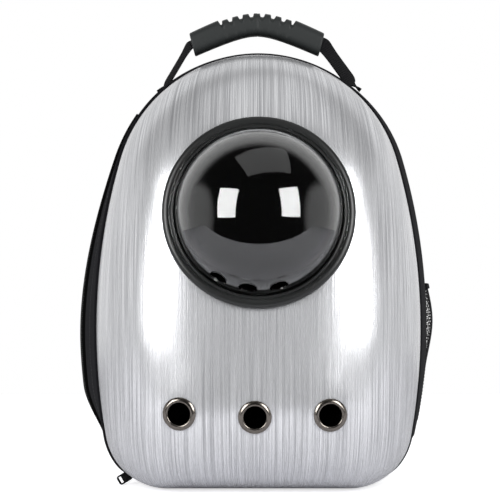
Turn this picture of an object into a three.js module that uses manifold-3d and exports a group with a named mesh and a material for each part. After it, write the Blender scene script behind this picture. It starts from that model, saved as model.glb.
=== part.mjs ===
// Pet carrier backpack: a moulded front shell with a clear dome window, a soft black body behind it,
// a carry handle, a side zip, a mesh pocket and shoulder straps.
// Millimetres, +Z up. The window faces -Y, and +X is on the right of someone looking at it.
// The origin is on the floor, under the middle of the soft base.

import * as THREE from "three";
import { LoftGeometry } from "three/addons/geometries/LoftGeometry.js";
import { mergeVertices } from "three/addons/utils/BufferGeometryUtils.js";
import Module from "manifold-3d";

const wasm = await Module();
wasm.setup();

// Clearance between neighbouring pieces
const GAP = 0.3;

// Outline seen from the front, made of tangent arcs, and the planes across the depth
const BODY = {
  height: 420,
  halfWidth: 157,
  widestZ: 155,
  sideRadius: 590,
  cornerRadius: 60,
  seamY: -65,
  wall: 2,
};

// Front shell: how deep it stands before the seam, how flat its face is, and how its upper part leans back
const SHELL = { depth: 105, wall: 2.5, flatness: 4, crownZ: 165, lean: 0.25, rows: 8, tip: 0.1 };

// Piping round the shell's rim: it stands a little proud except where it meets the floor
const PIPING = { radius: 2.2, proud: 1.8, floorInset: 0.2, sides: 6, floorZ: 40 };

// Soft wall: how far it stands out from the shell's outline on each side, by distance behind the seam
const REAR_ROWS = [
  { behind: 5, left: 0.5, right: 0.5, top: 0.5, corner: -4 },
  { behind: 20, left: 13.3, right: 7, top: 2, corner: -15 },
  { behind: 45, left: 13.8, right: 9.5, top: 3, corner: -14 },
  { behind: 85, left: 9, right: 9.5, top: 2, corner: -12 },
  { behind: 125, left: 3, right: 5, top: 0, corner: -10 },
  { behind: 145, left: -3, right: -3, top: -4, corner: -10 },
];
const LEFT_BULGE = { startZ: 35, fullZ: 100, fadeZ: 140, endZ: 360, fade: 0.78 };

// Padded back panel: outline inset by distance behind the seam
const PANEL_ROWS = [
  { behind: 145.3, inset: 5 },
  { behind: 148, inset: 3.5 },
  { behind: 154, inset: 4.5 },
  { behind: 158, inset: 10 },
  { behind: 159.5, inset: 22 },
];
const PANEL = { baseLift: 3, corner: 9 };

// Window: ring and dome turn about an axis that leans up with the shell
const WINDOW = { z: 265.5, holeRadius: 80, segments: 32 };
const RING = [
  { radius: 79, height: 1.2 },
  { radius: 79, height: 5.2 },
  { radius: 80.5, height: 6 },
  { radius: 81.6, height: 4.8 },
  { radius: 82.8, height: 6 },
  { radius: 87.6, height: 5.4 },
  { radius: 90, height: 3 },
  { radius: 90, height: -16 },
  { radius: 86.6, height: -16 },
  { radius: 86.6, height: 1.2 },
];
const DOME = { radius: 78, height: 70, neck: 3, wall: 2, flange: 86, flangeTop: 0.8, rows: 5 };
const DOME_VENTS = { radius: 8, reach: 75.7, height: 19.9, steep: 74.5, degreesFromDown: [-30, -7.9, 14.2] };

// Metal eyelets in the shell's three vent holes
const GROMMETS = [
  { side: "left", x: -73.3, z: 79.8 },
  { side: "middle", x: -3.7, z: 76.8 },
  { side: "right", x: 65.7, z: 78.7 },
];
const EYELET = { bore: 10.2, tube: 11.2, crest: 12.8, flange: 15.6, rise: 2.6, tail: 5, segments: 20 };

// Side zip, by outline point number and distances behind the seam
const ZIP = {
  from: 29,
  to: 43,
  tape: 1,
  coil: 1.6,
  tapeDepths: [7, 17.4, 20, 22.6, 34],
  coilDepths: [17.4, 20, 22.6],
};
const SLIDER = {
  at: 41.85,
  clear: 1.6,
  length: 11,
  width: 9,
  height: 2.5,
  bailLength: 6,
  bailWidth: 1.6,
  bailHole: 2,
  bar: 1,
};
const LINK = { radius: 2.2, wire: 0.5, hang: 0.55 };
const TAB = { length: 15, half: 4.8, neck: 2.6, eye: 1.5, thick: 1.8, slot: 2.6, droop: 30.5, round: 3 };

// Mesh pocket on the right side
const POCKET = { from: 7.35, to: 11.3, steps: 14, depths: [60, 72, 85, 98, 112, 125, 134], wall: 1.2 };
const POCKET_BULGE = { depth: 9.6, z: 160, spread: 42, mouth: 7.8 };
const BINDING_THICK = 1.2;

// Carry grip on a bent line over the body, and the webbing through it
const GRIP = {
  lineX: -1.5,
  lineZ: 453,
  drop: 12.1,
  bend: 26,
  under: 12,
  valley: 5.9,
  ribTop: 10.1,
  shoulderTop: 11.7,
  endTop: 10.5,
  endLean: 0.14,
  halfLength: 63.8,
  halfDepth: 15.5,
  behind: 27,
};
const RIBS = { count: 7, pitch: 9.5, half: 2.3, shoulder: 34.5, edge: 0.5 };
const WEBBING = { half: 12.5, thick: 1.8, tailFrom: 18.3, tailMiddle: 18.5, tailTo: 18.7, lift: 2.4 };
const WEBBING_SPAN = { steps: 12, lead: 4, arrive: 2, overSteps: 16, past: 1.6 };
const WEBBING_TWIST = { left: 15, right: 31, rampFrom: 0.12, rampTo: 0.5, rampDown: 0.8 };

// Shoulder straps on the back, given for the right side and mirrored
const STRAP_PATH = [
  { x: 44, out: 5, z: 366 },
  { x: 52, out: 21, z: 330 },
  { x: 60, out: 38, z: 280 },
  { x: 65, out: 44, z: 225 },
  { x: 71, out: 40, z: 172 },
  { x: 80, out: 30, z: 128 },
];
const STRAP = { half: 29, thick: 9, steps: 12 };
const BUCKLE = { half: 17, height: 26, thick: 4.5, rail: 3.5, round: 3 };
const LOWER_WEBBING = { half: 12.5, thick: 1.6, footZ: 34, footLength: 22 };

// Colours and surface values
const LOOKS = {
  silver: { color: 0xc9cbce, roughness: 0.32, metalness: 0.85 },
  ring: { color: 0x55585a, roughness: 0.5, metalness: 0 },
  acrylic: { color: 0xe8ecee, roughness: 0.05, metalness: 0, transparent: true, opacity: 0.35 },
  gunmetal: { color: 0x6b655f, roughness: 0.25, metalness: 1 },
  cloth: { color: 0x17181a, roughness: 0.85, metalness: 0 },
  webbing: { color: 0x101112, roughness: 0.8, metalness: 0 },
  grip: { color: 0x3a3d3d, roughness: 0.6, metalness: 0 },
  zip: { color: 0x0d0d0e, roughness: 0.45, metalness: 0 },
  plastic: { color: 0x141415, roughness: 0.4, metalness: 0 },
};

const up = new THREE.Vector3(0, 1, 0);
const degrees = THREE.MathUtils.degToRad;
const smooth = THREE.MathUtils.smoothstep;

// A closed geometry as a solid with its faces turned outward
function solid(geometry) {
  const bare = new THREE.BufferGeometry();
  bare.setAttribute("position", geometry.attributes.position);
  bare.setIndex(geometry.index);
  const merged = mergeVertices(bare, 1e-3);
  const points = merged.attributes.position;
  const corner = [new THREE.Vector3(), new THREE.Vector3(), new THREE.Vector3()];
  const triangles = [];
  let volume = 0;
  for (let i = 0; i < merged.index.count; i += 3) {
    const triangle = [0, 1, 2].map((k) => merged.index.getX(i + k));
    if (new Set(triangle).size < 3) continue;
    triangles.push(triangle);
    triangle.forEach((vertex, k) => corner[k].fromBufferAttribute(points, vertex));
    volume += corner[0].dot(corner[1].cross(corner[2]));
  }
  const turned = volume < 0 ? triangles.map(([a, b, c]) => [a, c, b]) : triangles;
  return new wasm.Manifold(
    new wasm.Mesh({
      numProp: 3,
      vertProperties: new Float32Array(points.array),
      triVerts: new Uint32Array(turned.flat()),
    }),
  );
}

function geometryOf(body) {
  const mesh = body.getMesh();
  const geometry = new THREE.BufferGeometry();
  geometry.setAttribute("position", new THREE.BufferAttribute(mesh.vertProperties, 3));
  geometry.setIndex(new THREE.BufferAttribute(mesh.triVerts, 1));
  geometry.computeVertexNormals();
  return geometry;
}

// A loft whose last section returns to the first
function ringLoft(sections) {
  return new LoftGeometry([...sections, sections[0]]);
}

function cappedLoft(sections) {
  return new LoftGeometry(sections, { capStart: true, capEnd: true });
}

// Turn a geometry built about +Y so that it points along a direction from a place
function aimed(geometry, place, direction) {
  const turn = new THREE.Quaternion().setFromUnitVectors(up, direction);
  return geometry.clone().applyQuaternion(turn).translate(place.x, place.y, place.z);
}

function lathe(profile, segments) {
  const points = profile.map((p) => new THREE.Vector2(p.radius, p.height));
  return new THREE.LatheGeometry([...points, points[0]], segments);
}

// The outline's points with outward normals, anticlockwise from the middle of the base
function bodyOutline() {
  const sideX = BODY.halfWidth - BODY.sideRadius;
  const rise = BODY.height - BODY.widestZ;
  const topRadius = (BODY.sideRadius ** 2 - sideX ** 2 - rise ** 2) / (2 * (BODY.sideRadius - rise));
  const topZ = BODY.height - topRadius;
  const drop = BODY.cornerRadius - BODY.widestZ;
  const cornerX = Math.sqrt((BODY.sideRadius - BODY.cornerRadius) ** 2 - drop ** 2) + sideX;
  const cornerEnd = Math.atan2(drop, cornerX - sideX);
  const topStart = Math.atan2(topZ - BODY.widestZ, -sideX);
  const quarter = Math.PI / 2;
  const arcs = [
    { x: cornerX, z: BODY.cornerRadius, radius: BODY.cornerRadius, from: -quarter, to: cornerEnd, steps: 5 },
    { x: sideX, z: BODY.widestZ, radius: BODY.sideRadius, from: cornerEnd, to: topStart, steps: 8 },
    { x: 0, z: topZ, radius: topRadius, from: topStart, to: quarter, steps: 8 },
  ];
  const right = [0, cornerX / 2, cornerX].map((x) => ({ x, z: 0, nx: 0, nz: -1 }));
  for (const arc of arcs) {
    for (let step = 1; step <= arc.steps; step += 1) {
      const angle = arc.from + ((arc.to - arc.from) * step) / arc.steps;
      const nx = Math.cos(angle);
      const nz = Math.sin(angle);
      right.push({ x: arc.x + arc.radius * nx, z: arc.z + arc.radius * nz, nx, nz });
    }
  }
  const left = right.slice(1, -1).reverse().map((p) => ({ x: -p.x, z: p.z, nx: -p.nx, nz: p.nz }));
  return [...right, ...left];
}

const OUTLINE = bodyOutline();

function offsetPoint(p, grow, y) {
  return new THREE.Vector3(p.x + p.nx * grow, y, p.z + p.nz * grow);
}

// Soft wall's growth at an outline point, from the row values on either side of a depth
function rearGrowth(p, behind) {
  const last = REAR_ROWS.length - 2;
  const found = REAR_ROWS.findIndex((row, i) => i <= last && behind <= REAR_ROWS[i + 1].behind);
  const low = found < 0 ? last : found;
  const [a, b] = [REAR_ROWS[low], REAR_ROWS[low + 1]];
  const t = (behind - a.behind) / (b.behind - a.behind);
  const value = (name) => THREE.MathUtils.lerp(a[name], b[name], t);
  const side = p.nx ** 2;
  const upright = p.nz ** 2;
  const fade = 1 - LEFT_BULGE.fade * smooth(p.z, LEFT_BULGE.fadeZ, LEFT_BULGE.endZ);
  const bulge = smooth(p.z, LEFT_BULGE.startZ, LEFT_BULGE.fullZ) * fade;
  const sideGrowth = p.nx < 0 ? value("left") * bulge : value("right");
  const topGrowth = p.nz > 0 ? value("top") : 0;
  const cornerGrowth = p.nz < 0 ? value("corner") * 4 * side * upright : 0;
  return side * sideGrowth + upright * topGrowth + cornerGrowth;
}

// A place on the soft wall's facets: along the outline by point number, and across the depth
function wallPoint(along, behind, lift) {
  const index = Math.floor(along);
  const ends = [OUTLINE[index % OUTLINE.length], OUTLINE[(index + 1) % OUTLINE.length]];
  const [a, b] = ends.map((p) => offsetPoint(p, rearGrowth(p, behind) + lift, BODY.seamY + behind));
  return a.lerp(b, along - index);
}

// The shell as a filled form, grown by an offset and carried behind the seam by an overrun
function shellForm(grow, overrun) {
  const sections = overrun > 0 ? [OUTLINE.map((p) => offsetPoint(p, grow, BODY.seamY + overrun))] : [];
  for (let row = 0; row <= SHELL.rows; row += 1) {
    const angle = (Math.PI / 2) * Math.min(row / SHELL.rows, 1 - SHELL.tip / SHELL.rows);
    const spread = Math.cos(angle) ** (2 / SHELL.flatness);
    sections.push(OUTLINE.map((p) => shellPoint(p, spread, Math.sin(angle), grow)));
  }
  return solid(cappedLoft(sections));
}

function shellPoint(p, spread, stand, grow) {
  const rim = offsetPoint(p, grow, 0);
  const z = SHELL.crownZ + (rim.z - SHELL.crownZ) * spread;
  const lean = 1 - (SHELL.lean * (z - SHELL.crownZ)) / (BODY.height - SHELL.crownZ);
  return new THREE.Vector3(rim.x * spread, BODY.seamY - (SHELL.depth + grow) * stand * lean, z);
}

// How far the outline is from the shell's crown in a direction
function outlineReach(dx, dz) {
  for (let i = 0; i < OUTLINE.length; i += 1) {
    const a = OUTLINE[i];
    const b = OUTLINE[(i + 1) % OUTLINE.length];
    const [ex, ez] = [b.x - a.x, b.z - a.z];
    const across = dx * ez - dz * ex;
    const reach = (a.x * ez - (a.z - SHELL.crownZ) * ex) / across;
    const t = (a.x * dz - (a.z - SHELL.crownZ) * dx) / across;
    if (reach > 0 && t >= 0 && t < 1) return reach;
  }
  return BODY.halfWidth;
}

function shellY(x, z) {
  const away = Math.hypot(x, z - SHELL.crownZ);
  const spread = away < 1e-6 ? 0 : away / outlineReach(x / away, (z - SHELL.crownZ) / away);
  const stand = Math.sqrt(1 - spread ** SHELL.flatness);
  const lean = 1 - (SHELL.lean * (z - SHELL.crownZ)) / (BODY.height - SHELL.crownZ);
  return BODY.seamY - SHELL.depth * stand * lean;
}

// Place and outward direction on the shell's face
function shellSeat(x, z) {
  const step = 4;
  const slopeX = (shellY(x + step, z) - shellY(x - step, z)) / (2 * step);
  const slopeZ = (shellY(x, z + step) - shellY(x, z - step)) / (2 * step);
  const place = new THREE.Vector3(x, shellY(x, z), z);
  const direction = new THREE.Vector3(slopeX, -1, slopeZ).normalize();
  return { place, direction };
}

const SHELL_FILLED = shellForm(0, 0);
const SHELL_CLEARANCE = shellForm(GAP, 8);
const WINDOW_SEAT = shellSeat(0, WINDOW.z);

function drilled(body, seat, radius, length, segments) {
  const drill = new THREE.CylinderGeometry(radius, radius, length, segments);
  return body.subtract(solid(aimed(drill, seat.place, seat.direction)));
}

function frontShell() {
  let body = SHELL_FILLED.subtract(shellForm(-SHELL.wall, 8));
  body = drilled(body, WINDOW_SEAT, WINDOW.holeRadius, 60, WINDOW.segments);
  for (const eyelet of GROMMETS) {
    body = drilled(body, shellSeat(eyelet.x, eyelet.z), EYELET.tube + GAP, 30, EYELET.segments);
  }
  return geometryOf(body);
}

function windowRing() {
  const ring = aimed(lathe(RING, WINDOW.segments), WINDOW_SEAT.place, WINDOW_SEAT.direction);
  return geometryOf(solid(ring).subtract(SHELL_CLEARANCE));
}

// Dome wall as a turned profile: outside from the flange to the tip, then back down inside
function domeProfile() {
  const points = [];
  const curve = (radius, height, from, to) => {
    for (let row = 0; row <= DOME.rows; row += 1) {
      const angle = THREE.MathUtils.lerp(from, to, row / DOME.rows);
      points.push(new THREE.Vector2(radius * Math.cos(angle), DOME.neck + height * Math.sin(angle)));
    }
  };
  const inner = DOME.radius - DOME.wall;
  points.push(new THREE.Vector2(inner, DOME.flangeTop - DOME.wall));
  points.push(new THREE.Vector2(DOME.flange, DOME.flangeTop - DOME.wall));
  points.push(new THREE.Vector2(DOME.flange, DOME.flangeTop));
  points.push(new THREE.Vector2(DOME.radius, DOME.flangeTop));
  curve(DOME.radius, DOME.height, 0, Math.PI / 2);
  curve(inner, DOME.height - DOME.wall, Math.PI / 2, 0);
  points.push(points[0].clone());
  return points;
}

function windowDome() {
  let body = solid(new THREE.LatheGeometry(domeProfile(), WINDOW.segments));
  for (const angle of DOME_VENTS.degreesFromDown) {
    const out = new THREE.Vector3(Math.sin(degrees(angle)), 0, Math.cos(degrees(angle)));
    const place = out.clone().multiplyScalar(DOME_VENTS.reach).setY(DOME_VENTS.height);
    const steep = degrees(DOME_VENTS.steep);
    const direction = out.clone().multiplyScalar(Math.sin(steep)).setY(Math.cos(steep));
    body = drilled(body, { place, direction }, DOME_VENTS.radius, 24, 16);
  }
  return aimed(geometryOf(body), WINDOW_SEAT.place, WINDOW_SEAT.direction);
}

// Eyelet: a tube through the shell, rolled out over its face
function grommet({ x, z }) {
  const seat = shellSeat(x, z);
  const { bore, tube, crest, flange, rise, tail, segments } = EYELET;
  const profile = [
    { radius: bore, height: -tail },
    { radius: bore, height: rise - 1 },
    { radius: (bore + crest) / 2, height: rise },
    { radius: crest, height: rise },
    { radius: (crest + flange) / 2, height: rise - 0.6 },
    { radius: flange, height: 2 * GAP },
    { radius: flange - 0.6, height: GAP },
    { radius: tube, height: GAP },
    { radius: tube, height: -tail },
  ];
  return aimed(lathe(profile, segments), seat.place, seat.direction);
}

function edgePiping() {
  const y = BODY.seamY + GAP + PIPING.radius;
  return ringLoft(
    OUTLINE.map((p) => {
      const proud = THREE.MathUtils.lerp(-PIPING.floorInset, PIPING.proud, smooth(p.z, 0, PIPING.floorZ));
      const section = [];
      for (let side = 0; side < PIPING.sides; side += 1) {
        const angle = (2 * Math.PI * side) / PIPING.sides;
        const grow = proud + PIPING.radius * (Math.cos(angle) - 1);
        section.push(offsetPoint(p, grow, y + PIPING.radius * Math.sin(angle)));
      }
      return section;
    }),
  );
}

// Wall section between two lifts over the soft wall, through a list of depths
function wallSection(along, depths, lower, upper) {
  const outside = depths.map((behind) => wallPoint(along, behind, upper(behind)));
  const inside = depths.map((behind) => wallPoint(along, behind, lower(behind)));
  return [...outside, ...inside.reverse()];
}

// The soft wall has a row of points under each edge of the zip too, so that their facets lie parallel
function rearBody() {
  const rows = new Set([...REAR_ROWS.map((row) => row.behind), ...ZIP.tapeDepths]);
  const depths = [...rows].sort((a, b) => a - b);
  const sections = OUTLINE.map((p, i) => wallSection(i, depths, () => -BODY.wall, () => 0));
  return ringLoft(sections.reverse());
}

function backPanel() {
  const sections = PANEL_ROWS.map(({ behind, inset }) =>
    OUTLINE.map((p) => {
      const corner = p.nz < 0 ? PANEL.corner * 4 * p.nx ** 2 * p.nz ** 2 : 0;
      const base = p.nz < 0 ? PANEL.baseLift * p.nz ** 2 : 0;
      return offsetPoint(p, -inset - corner - base, BODY.seamY + behind);
    }),
  );
  return cappedLoft(sections.reverse());
}

// A strip along the zip through a list of depths, between two lifts over the soft wall
function zipStrip(depths, lower, upper) {
  const sections = [];
  for (let point = ZIP.from; point <= ZIP.to; point += 1) {
    sections.push(wallSection(point, depths, () => lower, () => upper));
  }
  return cappedLoft(sections);
}

function zipTape() {
  return zipStrip(ZIP.tapeDepths, GAP, GAP + ZIP.tape);
}

function zipCoil() {
  const lower = 4 * GAP + ZIP.tape;
  return zipStrip(ZIP.coilDepths, lower, lower + ZIP.coil);
}

// Frame on the zip at the slider: along the zip, outward, and the height of the coil's top
function sliderSeat() {
  const behind = REAR_ROWS[1].behind;
  const lift = 5 * GAP + ZIP.tape + ZIP.coil + SLIDER.clear;
  const index = Math.floor(SLIDER.at);
  const along = wallPoint(index + 1, behind, lift).sub(wallPoint(index, behind, lift)).normalize();
  const outward = new THREE.Vector3(-along.z, 0, along.x).negate();
  return { place: wallPoint(SLIDER.at, behind, lift), along, outward };
}

// Put a flat shape, drawn along the zip and outward, across the depth at the slider
function atSlider(shape, thick, bevel) {
  const seat = sliderSeat();
  const geometry = new THREE.ExtrudeGeometry(shape, {
    depth: thick,
    bevelEnabled: bevel > 0,
    bevelSize: bevel,
    bevelThickness: bevel,
    bevelOffset: -bevel,
    bevelSegments: 1,
    curveSegments: 4,
  });
  geometry.translate(0, 0, -thick / 2);
  const across = new THREE.Vector3().crossVectors(seat.along, seat.outward);
  const frame = new THREE.Matrix4().makeBasis(seat.along, seat.outward, across).setPosition(seat.place);
  return geometry.applyMatrix4(frame);
}

function box2(x0, y0, x1, y1) {
  return [[x0, y0], [x1, y0], [x1, y1], [x0, y1]].map(([x, y]) => new THREE.Vector2(x, y));
}

function zipSlider() {
  const half = SLIDER.length / 2;
  const body = new THREE.Shape(box2(-half, 0, half, SLIDER.height));
  const bailHalf = SLIDER.bailLength / 2;
  const top = SLIDER.height + SLIDER.bailHole;
  const bail = new THREE.Shape(box2(-bailHalf, SLIDER.height - 1, bailHalf, top + SLIDER.bar));
  const opening = box2(-bailHalf + SLIDER.bar, SLIDER.height, bailHalf - SLIDER.bar, top);
  bail.holes.push(new THREE.Path(opening));
  const block = solid(atSlider(body, SLIDER.width, 0.5));
  return geometryOf(block.add(solid(atSlider(bail, SLIDER.bailWidth, 0))));
}

// Middle of the link, which hangs on the slider's bar
function linkCentre() {
  const seat = sliderSeat();
  const height = SLIDER.height + SLIDER.bailHole + SLIDER.bar / 2 + LINK.hang;
  return seat.place.clone().addScaledVector(seat.outward, height);
}

function zipRing() {
  const seat = sliderSeat();
  const ring = new THREE.TorusGeometry(LINK.radius, LINK.wire, 6, 14);
  const turn = new THREE.Quaternion().setFromUnitVectors(new THREE.Vector3(0, 0, 1), seat.along);
  const centre = linkCentre();
  return ring.applyQuaternion(turn).translate(centre.x, centre.y, centre.z);
}

// Pull tab: a flat slotted plate that hangs on the link by the eye at its narrow end
function zipPuller() {
  const seat = sliderSeat();
  const shape = new THREE.Shape();
  const { length, half, neck, round } = TAB;
  shape.moveTo(-neck + 0.2, -neck);
  shape.lineTo(-neck + 0.2, neck);
  shape.lineTo(3, half);
  shape.lineTo(length - round, half);
  shape.quadraticCurveTo(length, half, length, half - round);
  shape.lineTo(length, round - half);
  shape.quadraticCurveTo(length, -half, length - round, -half);
  shape.lineTo(3, -half);
  shape.closePath();
  const eye = new THREE.Path();
  eye.absarc(0, 0, TAB.eye, 0, 2 * Math.PI, false);
  const slotEnd = length - 2;
  const slot = new THREE.Path(box2(slotEnd - TAB.slot, 1.6 - half, slotEnd, half - 1.6));
  shape.holes.push(eye, slot);
  const options = { depth: TAB.thick, bevelEnabled: false, curveSegments: 4 };
  const plate = new THREE.ExtrudeGeometry(shape, options);
  plate.translate(0, 0, -TAB.thick / 2);
  const hang = LINK.radius + TAB.eye - LINK.wire - 0.45;
  const place = linkCentre().addScaledVector(seat.outward, hang);
  const droop = degrees(TAB.droop);
  const along = new THREE.Vector3(-Math.cos(droop), 0, -Math.sin(droop));
  const across = new THREE.Vector3(0, 1, 0);
  const upward = new THREE.Vector3().crossVectors(across, along);
  const frame = new THREE.Matrix4().makeBasis(along, upward, across);
  return plate.applyMatrix4(frame.setPosition(place));
}

// Pocket's stand-off from the soft wall: a bulge below a mouth that stands open
function pocketLift(along, behind) {
  const [front, rear] = [POCKET.depths[0], POCKET.depths.at(-1)];
  const across = Math.sin((Math.PI * (behind - front)) / (rear - front)) ** 0.7;
  const z = wallPoint(along, behind, 0).z;
  const bulge = POCKET_BULGE.depth * Math.exp(-(((z - POCKET_BULGE.z) / POCKET_BULGE.spread) ** 2));
  const mouthZ = wallPoint(POCKET.to, behind, 0).z;
  const mouth = POCKET_BULGE.mouth * smooth(z, POCKET_BULGE.z, mouthZ);
  return 2 * GAP + (across || 0) * Math.max(bulge, mouth);
}

function sidePocket() {
  const sections = [];
  for (let step = 0; step <= POCKET.steps; step += 1) {
    const along = THREE.MathUtils.lerp(POCKET.from, POCKET.to, step / POCKET.steps);
    const lower = (behind) => pocketLift(along, behind);
    sections.push(wallSection(along, POCKET.depths, lower, (behind) => lower(behind) + POCKET.wall));
  }
  return cappedLoft(sections);
}

// Binding along the outside of the pocket's mouth, one step of the pocket's run deep
function pocketBinding() {
  const drop = (POCKET.to - POCKET.from) / POCKET.steps;
  const sections = [POCKET.to - drop, POCKET.to].map((along) => {
    const lower = (behind) => pocketLift(along, behind) + POCKET.wall + 2 * GAP;
    return wallSection(along, POCKET.depths, lower, (behind) => lower(behind) + BINDING_THICK);
  });
  return cappedLoft(sections);
}

// A place on the grip: along its bent line by x, and above that line by an offset
function gripPlace(x, offset, y) {
  const stretch = Math.hypot(1, x / GRIP.bend);
  const tilt = Math.atan((GRIP.drop * x) / (GRIP.bend ** 2 * stretch));
  const z = GRIP.lineZ - GRIP.drop * (stretch - 1);
  return new THREE.Vector3(GRIP.lineX + x + offset * Math.sin(tilt), y, z + offset * Math.cos(tilt));
}

const GRIP_Y = BODY.seamY + GRIP.behind;

// Grip's top along its line: ribs between plain shoulders
function gripStations() {
  const { halfLength, endTop, shoulderTop, valley, ribTop } = GRIP;
  const { count, pitch, half, shoulder, edge } = RIBS;
  const right = [];
  for (let rib = (count - 1) / 2; rib > 0; rib -= 1) {
    const x = rib * pitch;
    right.push({ x: x + half + edge, top: valley }, { x: x + half, top: ribTop });
    right.push({ x: x - half, top: ribTop }, { x: x - half - edge, top: valley });
  }
  right.push({ x: half + edge, top: valley }, { x: half, top: ribTop });
  const ends = [{ x: halfLength, top: endTop }, { x: shoulder, top: shoulderTop }];
  const side = [...ends, { x: shoulder - edge, top: valley }, ...right];
  const mirrored = side.map(({ x, top }) => ({ x: -x, top }));
  return [...mirrored, ...side.reverse()];
}

function handleGrip() {
  const half = GRIP.halfDepth;
  const low = -GRIP.under;
  const sections = gripStations().map(({ x, top }) => {
    const corners = [
      [-half + 6, low],
      [half - 6, low],
      [half, low + 6],
      [half, top - 5],
      [half - 4, top],
      [4 - half, top],
      [-half, top - 5],
      [-half, low + 6],
    ];
    const lean = Math.abs(x) === GRIP.halfLength ? Math.sign(x) * GRIP.endLean : 0;
    return corners.map(([y, offset]) => gripPlace(x - lean * offset, offset, GRIP_Y + y));
  });
  const passage = [];
  for (let step = 0; step <= WEBBING_SPAN.steps; step += 1) {
    const reach = GRIP.halfLength + 3;
    const x = THREE.MathUtils.lerp(-reach, reach, step / WEBBING_SPAN.steps);
    passage.push(slotSection(x, WEBBING.half + 0.4, WEBBING.thick / 2 + 0.4));
  }
  return geometryOf(solid(cappedLoft(sections)).subtract(solid(cappedLoft(passage))));
}

function slotSection(x, half, thick) {
  return box2(-half, -thick, half, thick).map((p) => gripPlace(x, p.y, GRIP_Y + p.x));
}

// One side of the handle webbing, from its foot on the body up to the grip's end
function webbingSpan(sign) {
  const foot = [];
  for (const along of [WEBBING.tailFrom, WEBBING.tailMiddle, WEBBING.tailTo]) {
    const station = sign > 0 ? along : OUTLINE.length - along;
    const place = wallPoint(station, GRIP.behind, WEBBING.lift);
    foot.push(new THREE.Vector2(place.x, place.z));
  }
  const [before, start] = foot.slice(-2);
  const lead = start.clone().sub(before).normalize();
  const end = gripPlace(sign * (GRIP.halfLength + WEBBING_SPAN.past), 0, 0);
  const inner = gripPlace(sign * GRIP.halfLength, 0, 0);
  const arrive = new THREE.Vector2(inner.x - end.x, inner.z - end.z).normalize();
  const finish = new THREE.Vector2(end.x, end.z);
  const span = new THREE.CubicBezierCurve(
    start,
    start.clone().addScaledVector(lead, WEBBING_SPAN.lead),
    finish.clone().addScaledVector(arrive, -WEBBING_SPAN.arrive),
    finish,
  );
  const path = [...foot, ...span.getPoints(WEBBING_SPAN.steps).slice(1)];
  const { rampFrom, rampTo, rampDown } = WEBBING_TWIST;
  return path.map((p, i) => {
    const middle = (i - foot.length + 1) / WEBBING_SPAN.steps;
    const twist = smooth(middle, rampFrom, rampTo) * (1 - smooth(middle, rampDown, 1));
    return { x: p.x, z: p.y, twist };
  });
}

function handleWebbing() {
  const left = webbingSpan(-1).map((s) => ({ ...s, twist: s.twist * WEBBING_TWIST.left }));
  const right = webbingSpan(1).map((s) => ({ ...s, twist: s.twist * WEBBING_TWIST.right }));
  const over = [];
  for (let step = 1; step < WEBBING_SPAN.overSteps; step += 1) {
    const reach = GRIP.halfLength + WEBBING_SPAN.past;
    const place = gripPlace(THREE.MathUtils.lerp(-reach, reach, step / WEBBING_SPAN.overSteps), 0, 0);
    over.push({ x: place.x, z: place.z, twist: 0 });
  }
  const path = [...left, ...over, ...right.reverse()];
  const sections = path.map((s, i) => {
    const before = path[Math.max(i - 1, 0)];
    const after = path[Math.min(i + 1, path.length - 1)];
    const along = new THREE.Vector3(after.x - before.x, 0, after.z - before.z).normalize();
    const outward = new THREE.Vector3(-along.z, 0, along.x);
    const turn = degrees(s.twist);
    const wide = new THREE.Vector3(0, Math.cos(turn), 0).addScaledVector(outward, Math.sin(turn));
    const thick = outward.clone().multiplyScalar(Math.cos(turn)).setY(-Math.sin(turn));
    const centre = new THREE.Vector3(s.x, GRIP_Y, s.z);
    return box2(-WEBBING.half, -WEBBING.thick / 2, WEBBING.half, WEBBING.thick / 2).map((p) =>
      centre.clone().addScaledVector(wide, p.x).addScaledVector(thick, p.y),
    );
  });
  return cappedLoft(sections);
}

const PANEL_FACE_Y = BODY.seamY + PANEL_ROWS.at(-1).behind;

function strapCurve(sign) {
  const points = STRAP_PATH.map((p) => new THREE.Vector3(sign * p.x, PANEL_FACE_Y + GAP + p.out, p.z));
  return new THREE.CatmullRomCurve3(points);
}

// Section of a strap across its run: wide across, with eased edges
function strapSection(place, along, half, thick) {
  const outward = new THREE.Vector3(0, 1, 0).projectOnPlane(along).normalize();
  const wide = new THREE.Vector3().crossVectors(outward, along).normalize();
  const ease = Math.min(half * 0.2, thick);
  const profile = [
    [-half, -thick / 5], [-half + ease, -thick / 2], [half - ease, -thick / 2], [half, -thick / 5],
    [half, thick / 5], [half - ease, thick / 2], [ease - half, thick / 2], [-half, thick / 5],
  ];
  return profile.map(([w, t]) => place.clone().addScaledVector(wide, w).addScaledVector(outward, t));
}

function shoulderStrap(sign) {
  const curve = strapCurve(sign);
  const sections = [];
  for (let step = 0; step <= STRAP.steps; step += 1) {
    const t = step / STRAP.steps;
    const taper = 1 - 0.35 * smooth(t, 0.7, 1);
    sections.push(strapSection(curve.getPoint(t), curve.getTangent(t), STRAP.half * taper, STRAP.thick));
  }
  return cappedLoft(sections);
}

// Frame at a strap's lower end, where the buckle carries on along the strap
function buckleFrame(sign) {
  const curve = strapCurve(sign);
  const along = curve.getTangent(1);
  const outward = new THREE.Vector3(0, 1, 0).projectOnPlane(along).normalize();
  const wide = new THREE.Vector3().crossVectors(outward, along).normalize();
  return { place: curve.getPoint(1).addScaledVector(along, 2 * GAP), along, outward, wide };
}

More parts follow.
